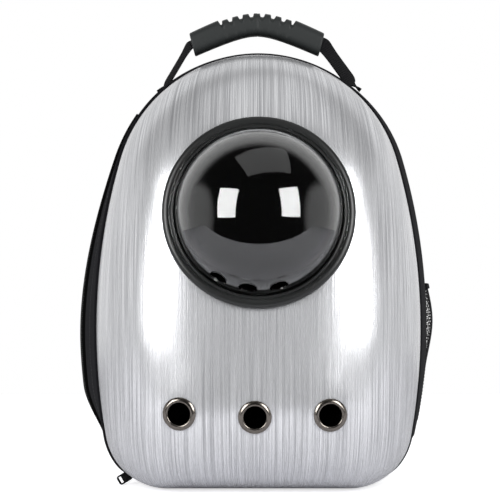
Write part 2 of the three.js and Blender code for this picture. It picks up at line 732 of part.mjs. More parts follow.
function strapBuckle(sign) {
  const { half, height, thick, rail, round } = BUCKLE;
  const shape = new THREE.Shape();
  shape.moveTo(-half, 0);
  shape.lineTo(half, 0);
  shape.lineTo(half, height - round);
  shape.quadraticCurveTo(half, height, half - round, height);
  shape.lineTo(round - half, height);
  shape.quadraticCurveTo(-half, height, -half, height - round);
  shape.closePath();
  const slotHeight = (height - 3 * rail) / 2;
  for (const low of [rail, 2 * rail + slotHeight]) {
    shape.holes.push(new THREE.Path(box2(rail - half, low, half - rail, low + slotHeight)));
  }
  const plate = new THREE.ExtrudeGeometry(shape, { depth: thick, bevelEnabled: false, curveSegments: 3 });
  plate.translate(0, 0, -thick / 2);
  const { place, along, outward, wide } = buckleFrame(sign);
  return plate.applyMatrix4(new THREE.Matrix4().makeBasis(wide, along, outward).setPosition(place));
}

function strapWebbing(sign) {
  const frame = buckleFrame(sign);
  const start = frame.place.clone().addScaledVector(frame.along, BUCKLE.height + GAP);
  const lead = start.clone().addScaledVector(frame.along, 18);
  const restY = PANEL_FACE_Y + GAP + LOWER_WEBBING.thick / 2;
  const footTop = new THREE.Vector3(sign * 90, restY, LOWER_WEBBING.footZ + LOWER_WEBBING.footLength);
  const foot = footTop.clone().setZ(LOWER_WEBBING.footZ);
  const arrive = footTop.clone().add(new THREE.Vector3(0, 0, 14));
  const span = new THREE.CubicBezierCurve3(start, lead, arrive, footTop);
  const path = [...span.getPoints(8), foot];
  const sections = path.map((place, i) => {
    const along = path[Math.min(i + 1, path.length - 1)].clone().sub(path[Math.max(i - 1, 0)]).normalize();
    return strapSection(place, along, LOWER_WEBBING.half, LOWER_WEBBING.thick);
  });
  return cappedLoft(sections);
}

function piece(name, look, geometry) {
  const mesh = new THREE.Mesh(geometryOf(solid(geometry)), new THREE.MeshStandardMaterial(look));
  mesh.name = name;
  return mesh;
}

const carrier = new THREE.Group();
carrier.add(
  piece("front_shell", LOOKS.silver, frontShell()),
  piece("window_ring", LOOKS.ring, windowRing()),
  piece("window_dome", LOOKS.acrylic, windowDome()),
  piece("edge_piping", LOOKS.cloth, edgePiping()),
  piece("rear_body", LOOKS.cloth, rearBody()),
  piece("back_panel", LOOKS.cloth, backPanel()),
  piece("zip_tape", LOOKS.webbing, zipTape()),
  piece("zip_coil", LOOKS.zip, zipCoil()),
  piece("zip_slider", LOOKS.plastic, zipSlider()),
  piece("zip_ring", LOOKS.gunmetal, zipRing()),
  piece("zip_puller", LOOKS.plastic, zipPuller()),
  piece("side_pocket", LOOKS.webbing, sidePocket()),
  piece("pocket_binding", LOOKS.webbing, pocketBinding()),
  piece("handle_grip", LOOKS.grip, handleGrip()),
  piece("handle_webbing", LOOKS.webbing, handleWebbing()),
);
for (const eyelet of GROMMETS) {
  carrier.add(piece(`grommet_${eyelet.side}`, LOOKS.gunmetal, grommet(eyelet)));
}
for (const [side, sign] of [["left", -1], ["right", 1]]) {
  carrier.add(
    piece(`shoulder_strap_${side}`, LOOKS.cloth, shoulderStrap(sign)),
    piece(`strap_buckle_${side}`, LOOKS.plastic, strapBuckle(sign)),
    piece(`strap_webbing_${side}`, LOOKS.webbing, strapWebbing(sign)),
  );
}

export default carrier;
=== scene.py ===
"""Dressed model of a pet carrier backpack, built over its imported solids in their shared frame."""

import logging
import math
from contextlib import contextmanager
from dataclasses import dataclass, field
from enum import Enum
from typing import Iterator, NamedTuple, Sequence

import bmesh
import bpy
import numpy as np
from bpy.types import Material, Mesh, Node, NodeSocket, NodeTree, Object, Scene
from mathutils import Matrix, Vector


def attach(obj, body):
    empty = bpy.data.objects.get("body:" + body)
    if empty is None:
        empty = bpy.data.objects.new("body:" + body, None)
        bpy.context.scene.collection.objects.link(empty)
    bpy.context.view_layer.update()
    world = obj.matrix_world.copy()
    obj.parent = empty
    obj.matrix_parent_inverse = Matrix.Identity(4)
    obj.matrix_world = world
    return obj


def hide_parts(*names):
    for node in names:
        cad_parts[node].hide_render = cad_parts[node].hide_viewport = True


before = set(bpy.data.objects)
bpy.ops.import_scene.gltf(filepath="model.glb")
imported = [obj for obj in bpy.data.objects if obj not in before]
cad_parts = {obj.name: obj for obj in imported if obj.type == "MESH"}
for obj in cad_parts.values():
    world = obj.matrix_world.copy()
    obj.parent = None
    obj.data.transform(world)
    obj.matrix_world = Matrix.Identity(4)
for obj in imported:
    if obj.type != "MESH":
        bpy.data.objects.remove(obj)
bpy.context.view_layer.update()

LOG = logging.getLogger("pet_carrier")
MM = 0.001
GAP = 0.3
STATIONS = 46
Array = np.ndarray
Colour = tuple[float, float, float]


class Slot(Enum):
    """Names of material slots, one for each kind of finish."""

    SILVER = "brushed_silver"
    RING = "ring_plastic"
    ACRYLIC = "clear_acrylic"
    GUNMETAL = "gunmetal"
    CLOTH = "black_cloth"
    PAD = "black_mesh_pad"
    WEBBING = "black_webbing"
    NET = "black_net"
    ZIP = "zip_black"
    PLASTIC = "black_plastic"
    GRIP = "grip_plastic"


class Side(Enum):
    """Left or right of someone looking at the window, as a sign along X."""

    LEFT = -1
    RIGHT = 1

    @property
    def word(self) -> str:
        """The side's name in piece names."""
        return self.name.lower()


class Wiring:
    """Adds and links the nodes of one tree."""

    def __init__(self, tree: NodeTree) -> None:
        """Keep the tree that the nodes go into."""
        self.tree = tree

    def add(self, kind: str, inputs: dict | None = None, **settings: object) -> Node:
        """Add a node.

        Args:
            kind: Blender's name for the node's type.
            inputs: values or output sockets for its inputs, by name or number.
            settings: the node's own properties.

        Returns:
            The new node.
        """
        node = self.tree.nodes.new(kind)
        for name, value in settings.items():
            setattr(node, name, value)
        self.feed(node, inputs or {})
        return node

    def feed(self, node: Node, inputs: dict) -> None:
        """Give a node's inputs their values or link sockets to them, by name or number."""
        for name, value in inputs.items():
            if isinstance(value, NodeSocket):
                self.tree.links.new(value, node.inputs[name])
            else:
                node.inputs[name].default_value = value

    def made(self, kind: str, inputs: dict | None = None, **settings: object) -> NodeSocket:
        """Add a node and return its first output."""
        return self.add(kind, inputs, **settings).outputs[0]

    def calc(self, operation: str, first: object, second: object = 0.0) -> NodeSocket:
        """Add a Math node and return its output."""
        return self.made("ShaderNodeMath", {0: first, 1: second}, operation=operation)

    def spread(
        self, value: object, low: float, high: float, to_low: float, to_high: float
    ) -> NodeSocket:
        """Map a value smoothly from one range to another.

        Args:
            value: the socket that is mapped.
            low: where the first range starts.
            high: where it ends.
            to_low: what the start becomes.
            to_high: what the end becomes.

        Returns:
            The mapped value's socket.
        """
        ends = {"Value": value, 1: low, 2: high, 3: to_low, 4: to_high}
        return self.made("ShaderNodeMapRange", ends, interpolation_type="SMOOTHSTEP")

    def tint(self, factor: object, first: Colour, second: Colour) -> NodeSocket:
        """Blend two colours by a factor and return the result's socket."""
        ends = {0: factor, 6: (*first, 1.0), 7: (*second, 1.0)}
        return self.add("ShaderNodeMix", ends, data_type="RGBA").outputs[2]

    def relief(self, height: object, depth: float, strength: float = 1.0) -> NodeSocket:
        """Turn a height into a bumped normal.

        Args:
            height: the height's socket.
            depth: how deep the relief is, in millimetres.
            strength: how much of it shows.

        Returns:
            The normal's socket.
        """
        ends = {"Height": height, "Distance": depth * MM, "Strength": strength}
        return self.made("ShaderNodeBump", ends)


@dataclass(frozen=True)
class Finish:
    """A plain finish: one colour and one gloss."""

    name: str
    colour: Colour
    roughness: float = 0.5
    metallic: float = 0.0
    specular: float = 0.5

    def material(self) -> Material:
        """Return the finish's material, made the first time that it is asked for."""
        made = bpy.data.materials.get(self.name)
        if made is not None:
            return made
        made = bpy.data.materials.new(self.name)
        made.use_nodes = True
        shader = made.node_tree.nodes["Principled BSDF"]
        shader.inputs["Base Color"].default_value = (*self.colour, 1.0)
        shader.inputs["Roughness"].default_value = self.roughness
        shader.inputs["Metallic"].default_value = self.metallic
        shader.inputs["Specular IOR Level"].default_value = self.specular
        self.dress(Wiring(made.node_tree), shader)
        return made

    def dress(self, wiring: Wiring, shader: Node) -> None:
        """Add the finish's pattern; a plain one has none."""


@dataclass(frozen=True)
class Glowing(Finish):
    """A white surface that is exposed until it shows no edge against the backdrop."""

    glow: float = 0.0

    def dress(self, wiring: Wiring, shader: Node) -> None:
        """Add the glow where the surface is seen directly."""
        seen = wiring.add("ShaderNodeLightPath").outputs["Is Camera Ray"]
        shader.inputs["Emission Color"].default_value = (1.0, 1.0, 1.0, 1.0)
        wiring.feed(shader, {"Emission Strength": wiring.calc("MULTIPLY", seen, self.glow)})


@dataclass(frozen=True)
class BrushedFoil(Finish):
    """Silver foil with fine brush lines that run up the shell, on its brush map in metres."""

    light: Colour = (0.62, 0.625, 0.64)
    fine: float = 1350.0
    broad: float = 260.0
    run: float = 7.0
    line_share: float = 0.8
    band_share: float = 0.2
    gloss_swing: float = 0.05
    depth: float = 0.06

    def dress(self, wiring: Wiring, shader: Node) -> None:
        """Draw two sizes of streak into colour, gloss and relief."""
        film = wiring.made("ShaderNodeUVMap", uv_map="brush")
        streaks = []
        for density, run in ((self.fine, self.run), (self.broad, self.run / 3)):
            placed = wiring.made("ShaderNodeMapping", {"Vector": film, "Scale": (density, run, 1.0)})
            noise = {"Vector": placed, "Scale": 1.0, "Detail": 3.0, "Roughness": 0.6}
            streaks.append(wiring.made("ShaderNodeTexNoise", noise, noise_dimensions="2D"))
        lines = wiring.spread(streaks[0], 0.36, 0.64, 0.0, self.line_share)
        bands = wiring.spread(streaks[1], 0.3, 0.7, 0.0, self.band_share)
        share = wiring.calc("ADD", lines, bands)
        colour = wiring.tint(share, self.colour, self.light)
        dull, bright = self.roughness + self.gloss_swing, self.roughness - self.gloss_swing
        gloss = wiring.spread(share, 0.0, 1.0, dull, bright)
        wiring.feed(shader, {"Base Color": colour})
        wiring.feed(shader, {"Roughness": gloss})
        wiring.feed(shader, {"Normal": wiring.relief(streaks[0], self.depth)})


@dataclass(frozen=True)
class Moulded(Finish):
    """Moulded plastic or cast metal with a fine grain."""

    grain: float = 0.5
    depth: float = 0.03

    def dress(self, wiring: Wiring, shader: Node) -> None:
        """Add the grain as relief."""
        place = wiring.add("ShaderNodeTexCoord").outputs["Object"]
        noise = {"Vector": place, "Scale": 1.0 / (self.grain * MM), "Detail": 2.0}
        grain = wiring.made("ShaderNodeTexNoise", noise)
        wiring.feed(shader, {"Normal": wiring.relief(grain, self.depth)})


@dataclass(frozen=True)
class ClearAcrylic(Finish):
    """Clear moulded acrylic."""

    ior: float = 1.49

    def dress(self, wiring: Wiring, shader: Node) -> None:
        """Let light through."""
        shader.inputs["Transmission Weight"].default_value = 1.0
        shader.inputs["IOR"].default_value = self.ior


@dataclass(frozen=True)
class Woven(Finish):
    """Plain woven cloth on the piece's weave map in metres."""

    thread: float = 1.1
    depth: float = 0.25
    # How much paler the raised threads are painted: a painted highlight.
    light: float = 1.6
    sheen: float = 0.03

    def dress(self, wiring: Wiring, shader: Node) -> None:
        """Lift warp over weft in turn and paint the raised threads paler, a painted highlight."""
        cloth = wiring.made("ShaderNodeUVMap", uv_map="weave")
        scale = math.tau / (20 * self.thread * MM)
        ways = []
        for way in ("X", "Y"):
            wave = {"Vector": cloth, "Scale": scale, "Distortion": 0.0}
            ways.append(wiring.add("ShaderNodeTexWave", wave, bands_direction=way).outputs[1])
        both = wiring.calc("MULTIPLY", ways[0], ways[1])
        gaps = [wiring.calc("SUBTRACT", 1.0, way) for way in ways]
        none = wiring.calc("MULTIPLY", gaps[0], gaps[1])
        raised = wiring.calc("ADD", both, none)
        # Painted highlight: the raised threads are tinted paler in their colour, standing in for the light
        # that they catch.
        pale = tuple(min(1.0, c * self.light) for c in self.colour)
        wiring.feed(shader, {"Base Color": wiring.tint(raised, self.colour, pale)})
        wiring.feed(shader, {"Normal": wiring.relief(raised, self.depth)})
        shader.inputs["Sheen Weight"].default_value = self.sheen


@dataclass(frozen=True)
class Ribbed(Finish):
    """Webbing with ribs across its run, on the piece's weave map in metres."""

    rib: float = 2.0
    depth: float = 0.4
    # How much paler the rib tops are painted: a painted highlight.
    light: float = 1.9
    yarn: float = 0.5
    sheen: float = 0.03

    def dress(self, wiring: Wiring, shader: Node) -> None:
        """Raise the ribs and paint their tops paler, a painted highlight."""
        cloth = wiring.made("ShaderNodeUVMap", uv_map="weave")
        wave = {"Vector": cloth, "Scale": math.tau / (20 * self.rib * MM), "Distortion": 0.0}
        ribs = wiring.add("ShaderNodeTexWave", wave, bands_direction="X").outputs[1]
        yarn = {"Vector": cloth, "Scale": 1.0 / (self.yarn * MM), "Detail": 2.0}
        loose = wiring.made("ShaderNodeTexNoise", yarn, noise_dimensions="2D")
        height = wiring.calc("ADD", ribs, wiring.calc("MULTIPLY", loose, 0.5))
        # Painted highlight: the rib tops are tinted paler in their colour, where light would catch them.
        pale = tuple(min(1.0, c * self.light) for c in self.colour)
        wiring.feed(shader, {"Base Color": wiring.tint(ribs, self.colour, pale)})
        wiring.feed(shader, {"Normal": wiring.relief(height, self.depth)})
        shader.inputs["Sheen Weight"].default_value = self.sheen


@dataclass(frozen=True)
class AirMesh(Finish):
    """Padded spacer fabric with a net of small holes, on the piece's weave map in metres."""

    cell: float = 3.0
    depth: float = 0.6
    # How dark the holes are painted: painted shade in the holes.
    shade: float = 0.35
    sheen: float = 0.05

    def dress(self, wiring: Wiring, shader: Node) -> None:
        """Sink the holes and darken them with painted shade."""
        cloth = wiring.made("ShaderNodeUVMap", uv_map="weave")
        turned = wiring.made("ShaderNodeMapping", {"Vector": cloth, "Rotation": (0.0, 0.0, math.pi / 4)})
        cells = {"Vector": turned, "Scale": 1.0 / (self.cell * MM), "Randomness": 0.2}
        away = wiring.add("ShaderNodeTexVoronoi", cells, voronoi_dimensions="2D").outputs["Distance"]
        raised = wiring.spread(away, 0.18, 0.42, 0.0, 1.0)
        # Painted shade: the holes are darkened in their colour where shade falls into them.
        dark = tuple(c * self.shade for c in self.colour)
        wiring.feed(shader, {"Base Color": wiring.tint(raised, dark, self.colour)})
        wiring.feed(shader, {"Normal": wiring.relief(raised, self.depth)})
        shader.inputs["Sheen Weight"].default_value = self.sheen


SILVER_FOIL = BrushedFoil("silver_foil", (0.295, 0.299, 0.31), 0.28, 0.55)
RING_PLASTIC = Moulded("ring_moulding", (0.008, 0.0085, 0.0085), 0.33, specular=0.4, grain=0.35, depth=0.01)
DOME_ACRYLIC = ClearAcrylic("dome_acrylic", (0.97, 0.98, 0.98), 0.03)
EYELET_METAL = Moulded("eyelet_metal", (0.15, 0.135, 0.12), 0.2, 1.0, grain=2.5, depth=0.01)
LINING_CLOTH = Finish("lining_cloth", (0.004, 0.004, 0.005), 0.95, specular=0.0)
# The woven cloths below get a painted highlight on their raised threads.
WALL_CLOTH = Woven("wall_cloth", (0.013, 0.013, 0.014), 0.85, specular=0.0)
PIPING_CLOTH = Woven("piping_cloth", (0.006, 0.006, 0.007), 0.8, specular=0.0, thread=0.9)
# The ribbed tapes and webbings below get a painted highlight on their rib tops.
TAPE_CLOTH = Ribbed("tape_cloth", (0.011, 0.011, 0.012), 0.8, specular=0.0, rib=1.1, depth=0.2)
STRAP_WEBBING = Ribbed("strap_webbing", (0.006, 0.006, 0.0065), 0.7, specular=0.0)
TAIL_WEBBING = Ribbed("tail_webbing", (0.018, 0.018, 0.020), 0.7, specular=0.2)
BINDING_CLOTH = Ribbed("binding_cloth", (0.018, 0.018, 0.020), 0.75, specular=0.2, rib=1.3, depth=0.2)
# The pad fabric gets painted shade in its holes.
PAD_FABRIC = AirMesh("pad_fabric", (0.040, 0.040, 0.043), 0.9, specular=0.2)
NET_YARN = Finish("net_yarn", (0.010, 0.010, 0.011), 0.7, specular=0.2)
THREAD = Finish("sewing_thread", (0.045, 0.045, 0.047), 0.6, specular=0.1)
ZIP_NYLON = Finish("zip_nylon", (0.030, 0.030, 0.031), 0.35)
ZIP_CORD = Finish("zip_cord", (0.003, 0.003, 0.003), 0.9, specular=0.0)
TAB_ENAMEL = Moulded("tab_enamel", (0.002, 0.002, 0.002), 0.25, specular=0.12, grain=0.8, depth=0.01)
TRIM_PLASTIC = Moulded("trim_plastic", (0.003, 0.003, 0.003), 0.16, grain=0.8, depth=0.01)
GRIP_RUBBER = Moulded("grip_rubber", (0.017, 0.019, 0.019), 0.5, specular=0.2, grain=0.4, depth=0.04)
TABLE_WHITE = Glowing("table_white", (0.83, 0.83, 0.87), 0.8, glow=0.65)
LINK_METAL = Finish("link_metal", (0.35, 0.34, 0.33), 0.25, 1.0)


def new_object(name: str, mesh: Mesh, *finishes: Finish) -> Object:
    """Put a mesh into the scene.

    Args:
        name: the piece's name.
        mesh: its mesh, already in place.
        finishes: its finishes, in the order of its material numbers.

    Returns:
        The new object.
    """
    piece = bpy.data.objects.new(name, mesh)
    bpy.context.scene.collection.objects.link(piece)
    for finish in finishes:
        mesh.materials.append(finish.material())
    return piece


def mesh_of(name: str, points: Array, faces: Sequence[Sequence[int]]) -> Mesh:
    """Make a mesh from points in millimetres."""
    mesh = bpy.data.meshes.new(name)
    mesh.from_pydata((np.asarray(points, float).reshape(-1, 3) * MM).tolist(), [], faces)
    mesh.update()
    return mesh


@contextmanager
def editing(mesh: Mesh) -> Iterator[bmesh.types.BMesh]:
    """Open a mesh for editing and write it back afterwards."""
    work = bmesh.new()
    work.from_mesh(mesh)
    yield work
    work.to_mesh(mesh)
    work.free()


def vertex_places(mesh: Mesh) -> Array:
    """Places of a mesh's points, in metres."""
    places = np.empty(len(mesh.vertices) * 3)
    mesh.vertices.foreach_get("co", places)
    return places.reshape(-1, 3)


def corner_points(mesh: Mesh) -> Array:
    """Number of the point at each corner of a mesh's faces."""
    corner = np.empty(len(mesh.loops), dtype=int)
    mesh.loops.foreach_get("vertex_index", corner)
    return corner


def shade(mesh: Mesh, sharp: float = 40.0) -> None:
    """Shade a mesh smooth up to an angle in degrees."""
    mesh.shade_smooth()
    mesh.set_sharp_from_angle(angle=math.radians(sharp))


def settle(mesh: Mesh, sharp: float = 40.0) -> None:
    """Turn a closed mesh's faces outward and shade it smooth up to an angle in degrees."""
    with editing(mesh) as work:
        bmesh.ops.recalc_face_normals(work, faces=work.faces)
    shade(mesh, sharp)


class Closing(Enum):
    """How a grid's rows end."""

    RING = "ring"
    CAPPED = "capped"
    POLES = "poles"


def tube_mesh(name: str, points: Array, closing: Closing, weave: Array | None = None) -> Mesh:
    """Skin a stack of closed sections.

    Args:
        name: the mesh's name.
        points: rows of sections, each of the same number of points, in millimetres.
        closing: what closes the first and last row; a pole is a row that has shrunk to a point.
        weave: cloth coordinates in metres, with one column more than the points and one row more for a ring.

    Returns:
        The mesh, with a UV map named weave if cloth coordinates were given.
    """
    rows, columns = points.shape[:2]
    down = rows if closing is Closing.RING else rows - 1
    row, column = np.meshgrid(np.arange(down), np.arange(columns), indexing="ij")

    def number(r: Array, c: Array) -> Array:
        """Number of a grid point."""
        return (r % rows) * columns + c % columns

    corners = ((row, column), (row, column + 1), (row + 1, column + 1), (row + 1, column))
    faces = np.stack([number(r, c) for r, c in corners], -1).reshape(-1, 4).tolist()
    if closing is Closing.CAPPED:
        faces.append(list(range(columns))[::-1])
        faces.append(list(range((rows - 1) * columns, rows * columns)))
    mesh = mesh_of(name, points, faces)
    if weave is not None:
        spread = np.stack([weave[r, c] for r, c in corners], 2).reshape(-1, 2)
        if closing is Closing.CAPPED:
            spread = np.vstack([spread, weave[0, :columns][::-1], weave[-1, :columns]])
        mesh.uv_layers.new(name="weave").data.foreach_set("uv", spread.ravel())
    if closing is Closing.POLES:
        with editing(mesh) as work:
            bmesh.ops.remove_doubles(work, verts=work.verts, dist=1e-6)
    return mesh


def tube(
    name: str,
    points: Array,
    closing: Closing,
    *finishes: Finish,
    weave: Array | None = None,
    sharp: float = 40.0,
) -> Object:
    """Skin a stack of closed sections and put it into the scene with its faces turned outward.

    Args:
        name: the piece's name.
        points: rows of sections, as in tube_mesh.
        closing: what closes the first and last row.
        finishes: the piece's finishes.
        weave: cloth coordinates, as in tube_mesh.
        sharp: the angle in degrees up to which it is shaded smooth.

    Returns:
        The new piece.
    """
    mesh = tube_mesh(name, points, closing, weave)
    settle(mesh, sharp)
    return new_object(name, mesh, *finishes)


def run_lengths(points: Array) -> Array:
    """Distance along a line of points from its first, in their own unit."""
    steps = np.linalg.norm(np.diff(points, axis=0), axis=1)
    return np.concatenate([[0.0], np.cumsum(steps)])


def strip_weave(path: Array, section: Array) -> Array:
    """Cloth coordinates of a strip: metres along its run, then round its section.

    Args:
        path: the points that the strip follows, in millimetres.
        section: one closed section's points, in millimetres.

    Returns:
        Coordinates for every row and one column more than the section has points.
    """
    along = run_lengths(path)
    round_it = run_lengths(np.vstack([section, section[:1]]))
    u, v = np.meshgrid(along, round_it, indexing="ij")
    return np.stack([u, v], -1) * MM


def bake(piece: Object) -> None:
    """Turn a piece's live modifiers into plain mesh."""
    graph = bpy.context.evaluated_depsgraph_get()
    shaped = piece.evaluated_get(graph)
    mesh = bpy.data.meshes.new_from_object(shaped, preserve_all_data_layers=True, depsgraph=graph)
    old = piece.data
    mesh.name = old.name
    piece.modifiers.clear()
    piece.data = mesh
    bpy.data.meshes.remove(old)


def refine(piece: Object) -> None:
    """Subdivide a piece once and shade it smooth."""
    finer = piece.modifiers.new("finer", "SUBSURF")
    finer.levels = 1
    finer.render_levels = 1
    bake(piece)
    piece.data.shade_smooth()


def cut(piece: Object, cutters: Sequence[Object]) -> None:
    """Cut holes into a piece and remove the cutters."""
    for cutter in cutters:
        hole = piece.modifiers.new("hole", "BOOLEAN")
        hole.operation = "DIFFERENCE"
        hole.solver = "EXACT"
        hole.object = cutter
    bake(piece)
    for cutter in cutters:
        bpy.data.meshes.remove(cutter.data)


def rounded(corners: Sequence[tuple[float, float]], radius: float, steps: int = 4) -> Array:
    """Round the corners of a closed outline.

    Args:
        corners: its corners in order.
        radius: how far along its sides each corner is cut, at most.
        steps: how many sides each round has.

    Returns:
        The rounded outline's points.
    """
    places = np.asarray(corners, float)
    points = []
    for before, here, after in zip(np.roll(places, 1, 0), places, np.roll(places, -1, 0)):
        ends = []
        for other in (before, after):
            way = other - here
            length = np.linalg.norm(way)
            ends.append(here + way / length * min(radius, length * 0.45))
        for t in np.linspace(0.0, 1.0, steps + 1):
            points.append((1 - t) ** 2 * ends[0] + 2 * t * (1 - t) * here + t**2 * ends[1])
    return np.array(points)


def full_turn(count: int) -> Array:
    """Even angles once round, in radians."""
    return np.linspace(0.0, math.tau, count, endpoint=False)


def unit(ways: Array) -> Array:
    """Directions of length 1, one for each row."""
    return ways / np.linalg.norm(ways, axis=-1, keepdims=True)


def flat_section(half: float, thin: float) -> list[tuple[float, float]]:
    """Corners of a flat strip's section, from half its width and half its thickness."""
    return [(-half, -thin), (half, -thin), (half, thin), (-half, thin)]


def bezier(ends: Array, t: Array) -> Array:
    """Points of a cubic curve at shares of its way, from its four control points."""
    t = t[:, None]
    return np.hstack([(1 - t) ** 3, 3 * t * (1 - t) ** 2, 3 * t * t * (1 - t), t**3]) @ ends


def smooth(value: Array, low: float, high: float) -> Array:
    """Ease from 0 at one value to 1 at another."""
    t = np.clip((np.asarray(value, float) - low) / (high - low), 0.0, 1.0)
    return t * t * (3 - 2 * t)


def eased(at: Array, knots: Array, values: Array) -> Array:
    """Smooth curve through values at knots.

    Args:
        at: where it is read.
        knots: rising places of the values.
        values: the values there.

    Returns:
        The curve's values.
    """
    slopes = np.gradient(values, knots)
    first = np.clip(np.searchsorted(knots, at) - 1, 0, len(knots) - 2)
    width = knots[first + 1] - knots[first]
    t = np.clip((at - knots[first]) / width, 0.0, 1.0)
    start = (1 + 2 * t) * (1 - t) ** 2 * values[first] + t * (1 - t) ** 2 * width * slopes[first]
    end = t * t * (3 - 2 * t) * values[first + 1] - t * t * (1 - t) * width * slopes[first + 1]
    return start + end


class Seat(NamedTuple):
    """A place and the direction out of it, in millimetres."""

    place: Array
    axis: Array

    def radial(self, angle: Array) -> Array:
        """Directions across the axis, by angle from straight down towards +X."""
        across = np.array([1.0, 0.0, 0.0])
        across = across - self.axis * self.axis[0]
        across = across / np.linalg.norm(across)
        down = np.cross(across, self.axis)
        down = down if down[2] < 0 else -down
        angle = np.asarray(angle, float)[..., None]
        return across * np.sin(angle) + down * np.cos(angle)

    def turned(self, profile: Array, segments: int) -> Array:
        """Turn a profile about the axis.

        Args:
            profile: radius and height of each point, or one such list for each segment.
            segments: how many sides the turned form has.

        Returns:
            Points by segment and profile point.
        """
        angles = full_turn(segments)
        shape = np.broadcast_to(profile, (segments, *np.shape(profile)[-2:]))
        out = self.radial(angles)[:, None, :] * shape[..., :1]
        return self.place + out + self.axis * shape[..., 1:]


def drill(seat: Seat, radius: float, reach: float, segments: int = 64) -> Object:
    """A round cutter along a seat's axis, as far before it as behind."""
    profile = np.array([[0.0, -reach], [radius, -reach], [radius, reach], [0.0, reach]])
    points = seat.turned(profile, segments)
    return tube("drill", points.transpose(1, 0, 2), Closing.POLES)


@dataclass(frozen=True)
class BodyOutline:
    """The body from the front: a flat base and tangent arcs, by station number from the base's middle."""

    height: float = 420.0
    half_width: float = 157.0
    widest_z: float = 155.0
    side_radius: float = 590.0
    corner_radius: float = 60.0
    seam_y: float = -65.0

    def trace(self, station: Array) -> Array:
        """Points and outward normals of the outline.

        Args:
            station: station numbers, which run anticlockwise from 0 to 46.

        Returns:
            x, z and the normal's x and z for each station, in millimetres.
        """
        side_x = self.half_width - self.side_radius
        rise = self.height - self.widest_z
        top_radius = (self.side_radius**2 - side_x**2 - rise**2) / (2 * (self.side_radius - rise))
        top_z = self.height - top_radius
        drop = self.corner_radius - self.widest_z
        corner_x = math.sqrt((self.side_radius - self.corner_radius) ** 2 - drop**2) + side_x
        corner_end = math.atan2(drop, corner_x - side_x)
        top_start = math.atan2(top_z - self.widest_z, -side_x)
        quarter = math.pi / 2
        arcs = (
            (corner_x, self.corner_radius, self.corner_radius, -quarter, corner_end, 2, 7),
            (side_x, self.widest_z, self.side_radius, corner_end, top_start, 7, 15),
            (0.0, top_z, top_radius, top_start, quarter, 15, 23),
        )
        around = np.mod(np.asarray(station, float), STATIONS)
        mirror = np.where(around > STATIONS / 2, -1.0, 1.0)
        along = np.where(around > STATIONS / 2, STATIONS - around, around)
        x = corner_x * np.clip(along, 0, 2) / 2
        z, nx, nz = np.zeros_like(x), np.zeros_like(x), -np.ones_like(x)
        for centre_x, centre_z, radius, start, end, first, last in arcs:
            angle = start + (end - start) * (np.clip(along, first, last) - first) / (last - first)
            here = along >= first
            nx = np.where(here, np.cos(angle), nx)
            nz = np.where(here, np.sin(angle), nz)
            x = np.where(here, centre_x + radius * nx, x)
            z = np.where(here, centre_z + radius * nz, z)
        return np.stack([mirror * x, z, mirror * nx, nz], -1)

    def offset(self, station: Array, grow: Array, y: Array) -> Array:
        """Points at a distance outside the outline, at a depth."""
        x, z, nx, nz = np.moveaxis(self.trace(station), -1, 0)
        x, y, z = np.broadcast_arrays(x + nx * grow, y, z + nz * grow)
        return np.stack([x, y, z], -1)

    def length(self, start: float, end: float) -> float:
        """Length of the outline between two stations, in millimetres."""
        return float(run_lengths(self.trace(np.linspace(start, end, 400))[:, :2])[-1])

    def runs(self, station: Array) -> Array:
        """Lengths round the outline at even stations and at its end, in millimetres."""
        return np.append(station, STATIONS) * self.length(0, STATIONS) / STATIONS


OUTLINE = BodyOutline()


class WallRow(NamedTuple):
    """How far the soft wall stands out from the outline at a distance behind the seam."""

    behind: float
    left: float
    right: float
    top: float
    corner: float


@dataclass(frozen=True)
class SoftWall:
    """Shape of the soft wall behind the seam."""

    rows: tuple[WallRow, ...] = (
        WallRow(5, 0.5, 0.5, 0.5, -4),
        WallRow(20, 13.3, 7, 2, -15),
        WallRow(45, 13.8, 9.5, 3, -14),
        WallRow(85, 9, 9.5, 2, -12),
        WallRow(125, 3, 5, 0, -10),
        WallRow(145, -3, -3, -4, -10),
    )
    bulge_from: tuple[float, float] = (35.0, 100.0)
    bulge_fade: tuple[float, float] = (140.0, 360.0)
    bulge_loss: float = 0.78

    def growth(self, station: Array, behind: Array) -> Array:
        """How far the wall stands out, in millimetres.

        Args:
            station: station numbers along the outline.
            behind: distances behind the seam, which broadcast with the stations.

        Returns:
            The growth at each place.
        """
        _, z, nx, nz = np.moveaxis(OUTLINE.trace(station), -1, 0)
        behind = np.asarray(behind, float)
        knots, *columns = np.array(self.rows, float).T
        read = {name: eased(behind, knots, column) for name, column in zip(WallRow._fields[1:], columns)}
        swell = smooth(z, *self.bulge_from) * (1 - self.bulge_loss * smooth(z, *self.bulge_fade))
        side = np.where(nx < 0, read["left"] * swell, read["right"])
        top = np.where(nz > 0, read["top"], 0.0)
        corner = np.where(nz < 0, read["corner"] * 4 * nx**2 * nz**2, 0.0)
        return nx**2 * side + nz**2 * top + corner

    def place(self, station: Array, behind: Array, lift: Array) -> Array:
        """Points at a lift over the wall, by station and distance behind the seam."""
        behind = np.asarray(behind, float)
        return OUTLINE.offset(station, self.growth(station, behind) + lift, OUTLINE.seam_y + behind)

    def outward(self, station: Array, behind: Array) -> Array:
        """Outward directions at places on the wall."""
        across = self.place(station, np.asarray(behind, float) + 0.5, 0.0)
        across = across - self.place(station, np.asarray(behind, float) - 0.5, 0.0)
        along = self.place(np.asarray(station, float) + 0.02, behind, 0.0)
        along = along - self.place(np.asarray(station, float) - 0.02, behind, 0.0)
        return unit(np.cross(across, along))


WALL = SoftWall()


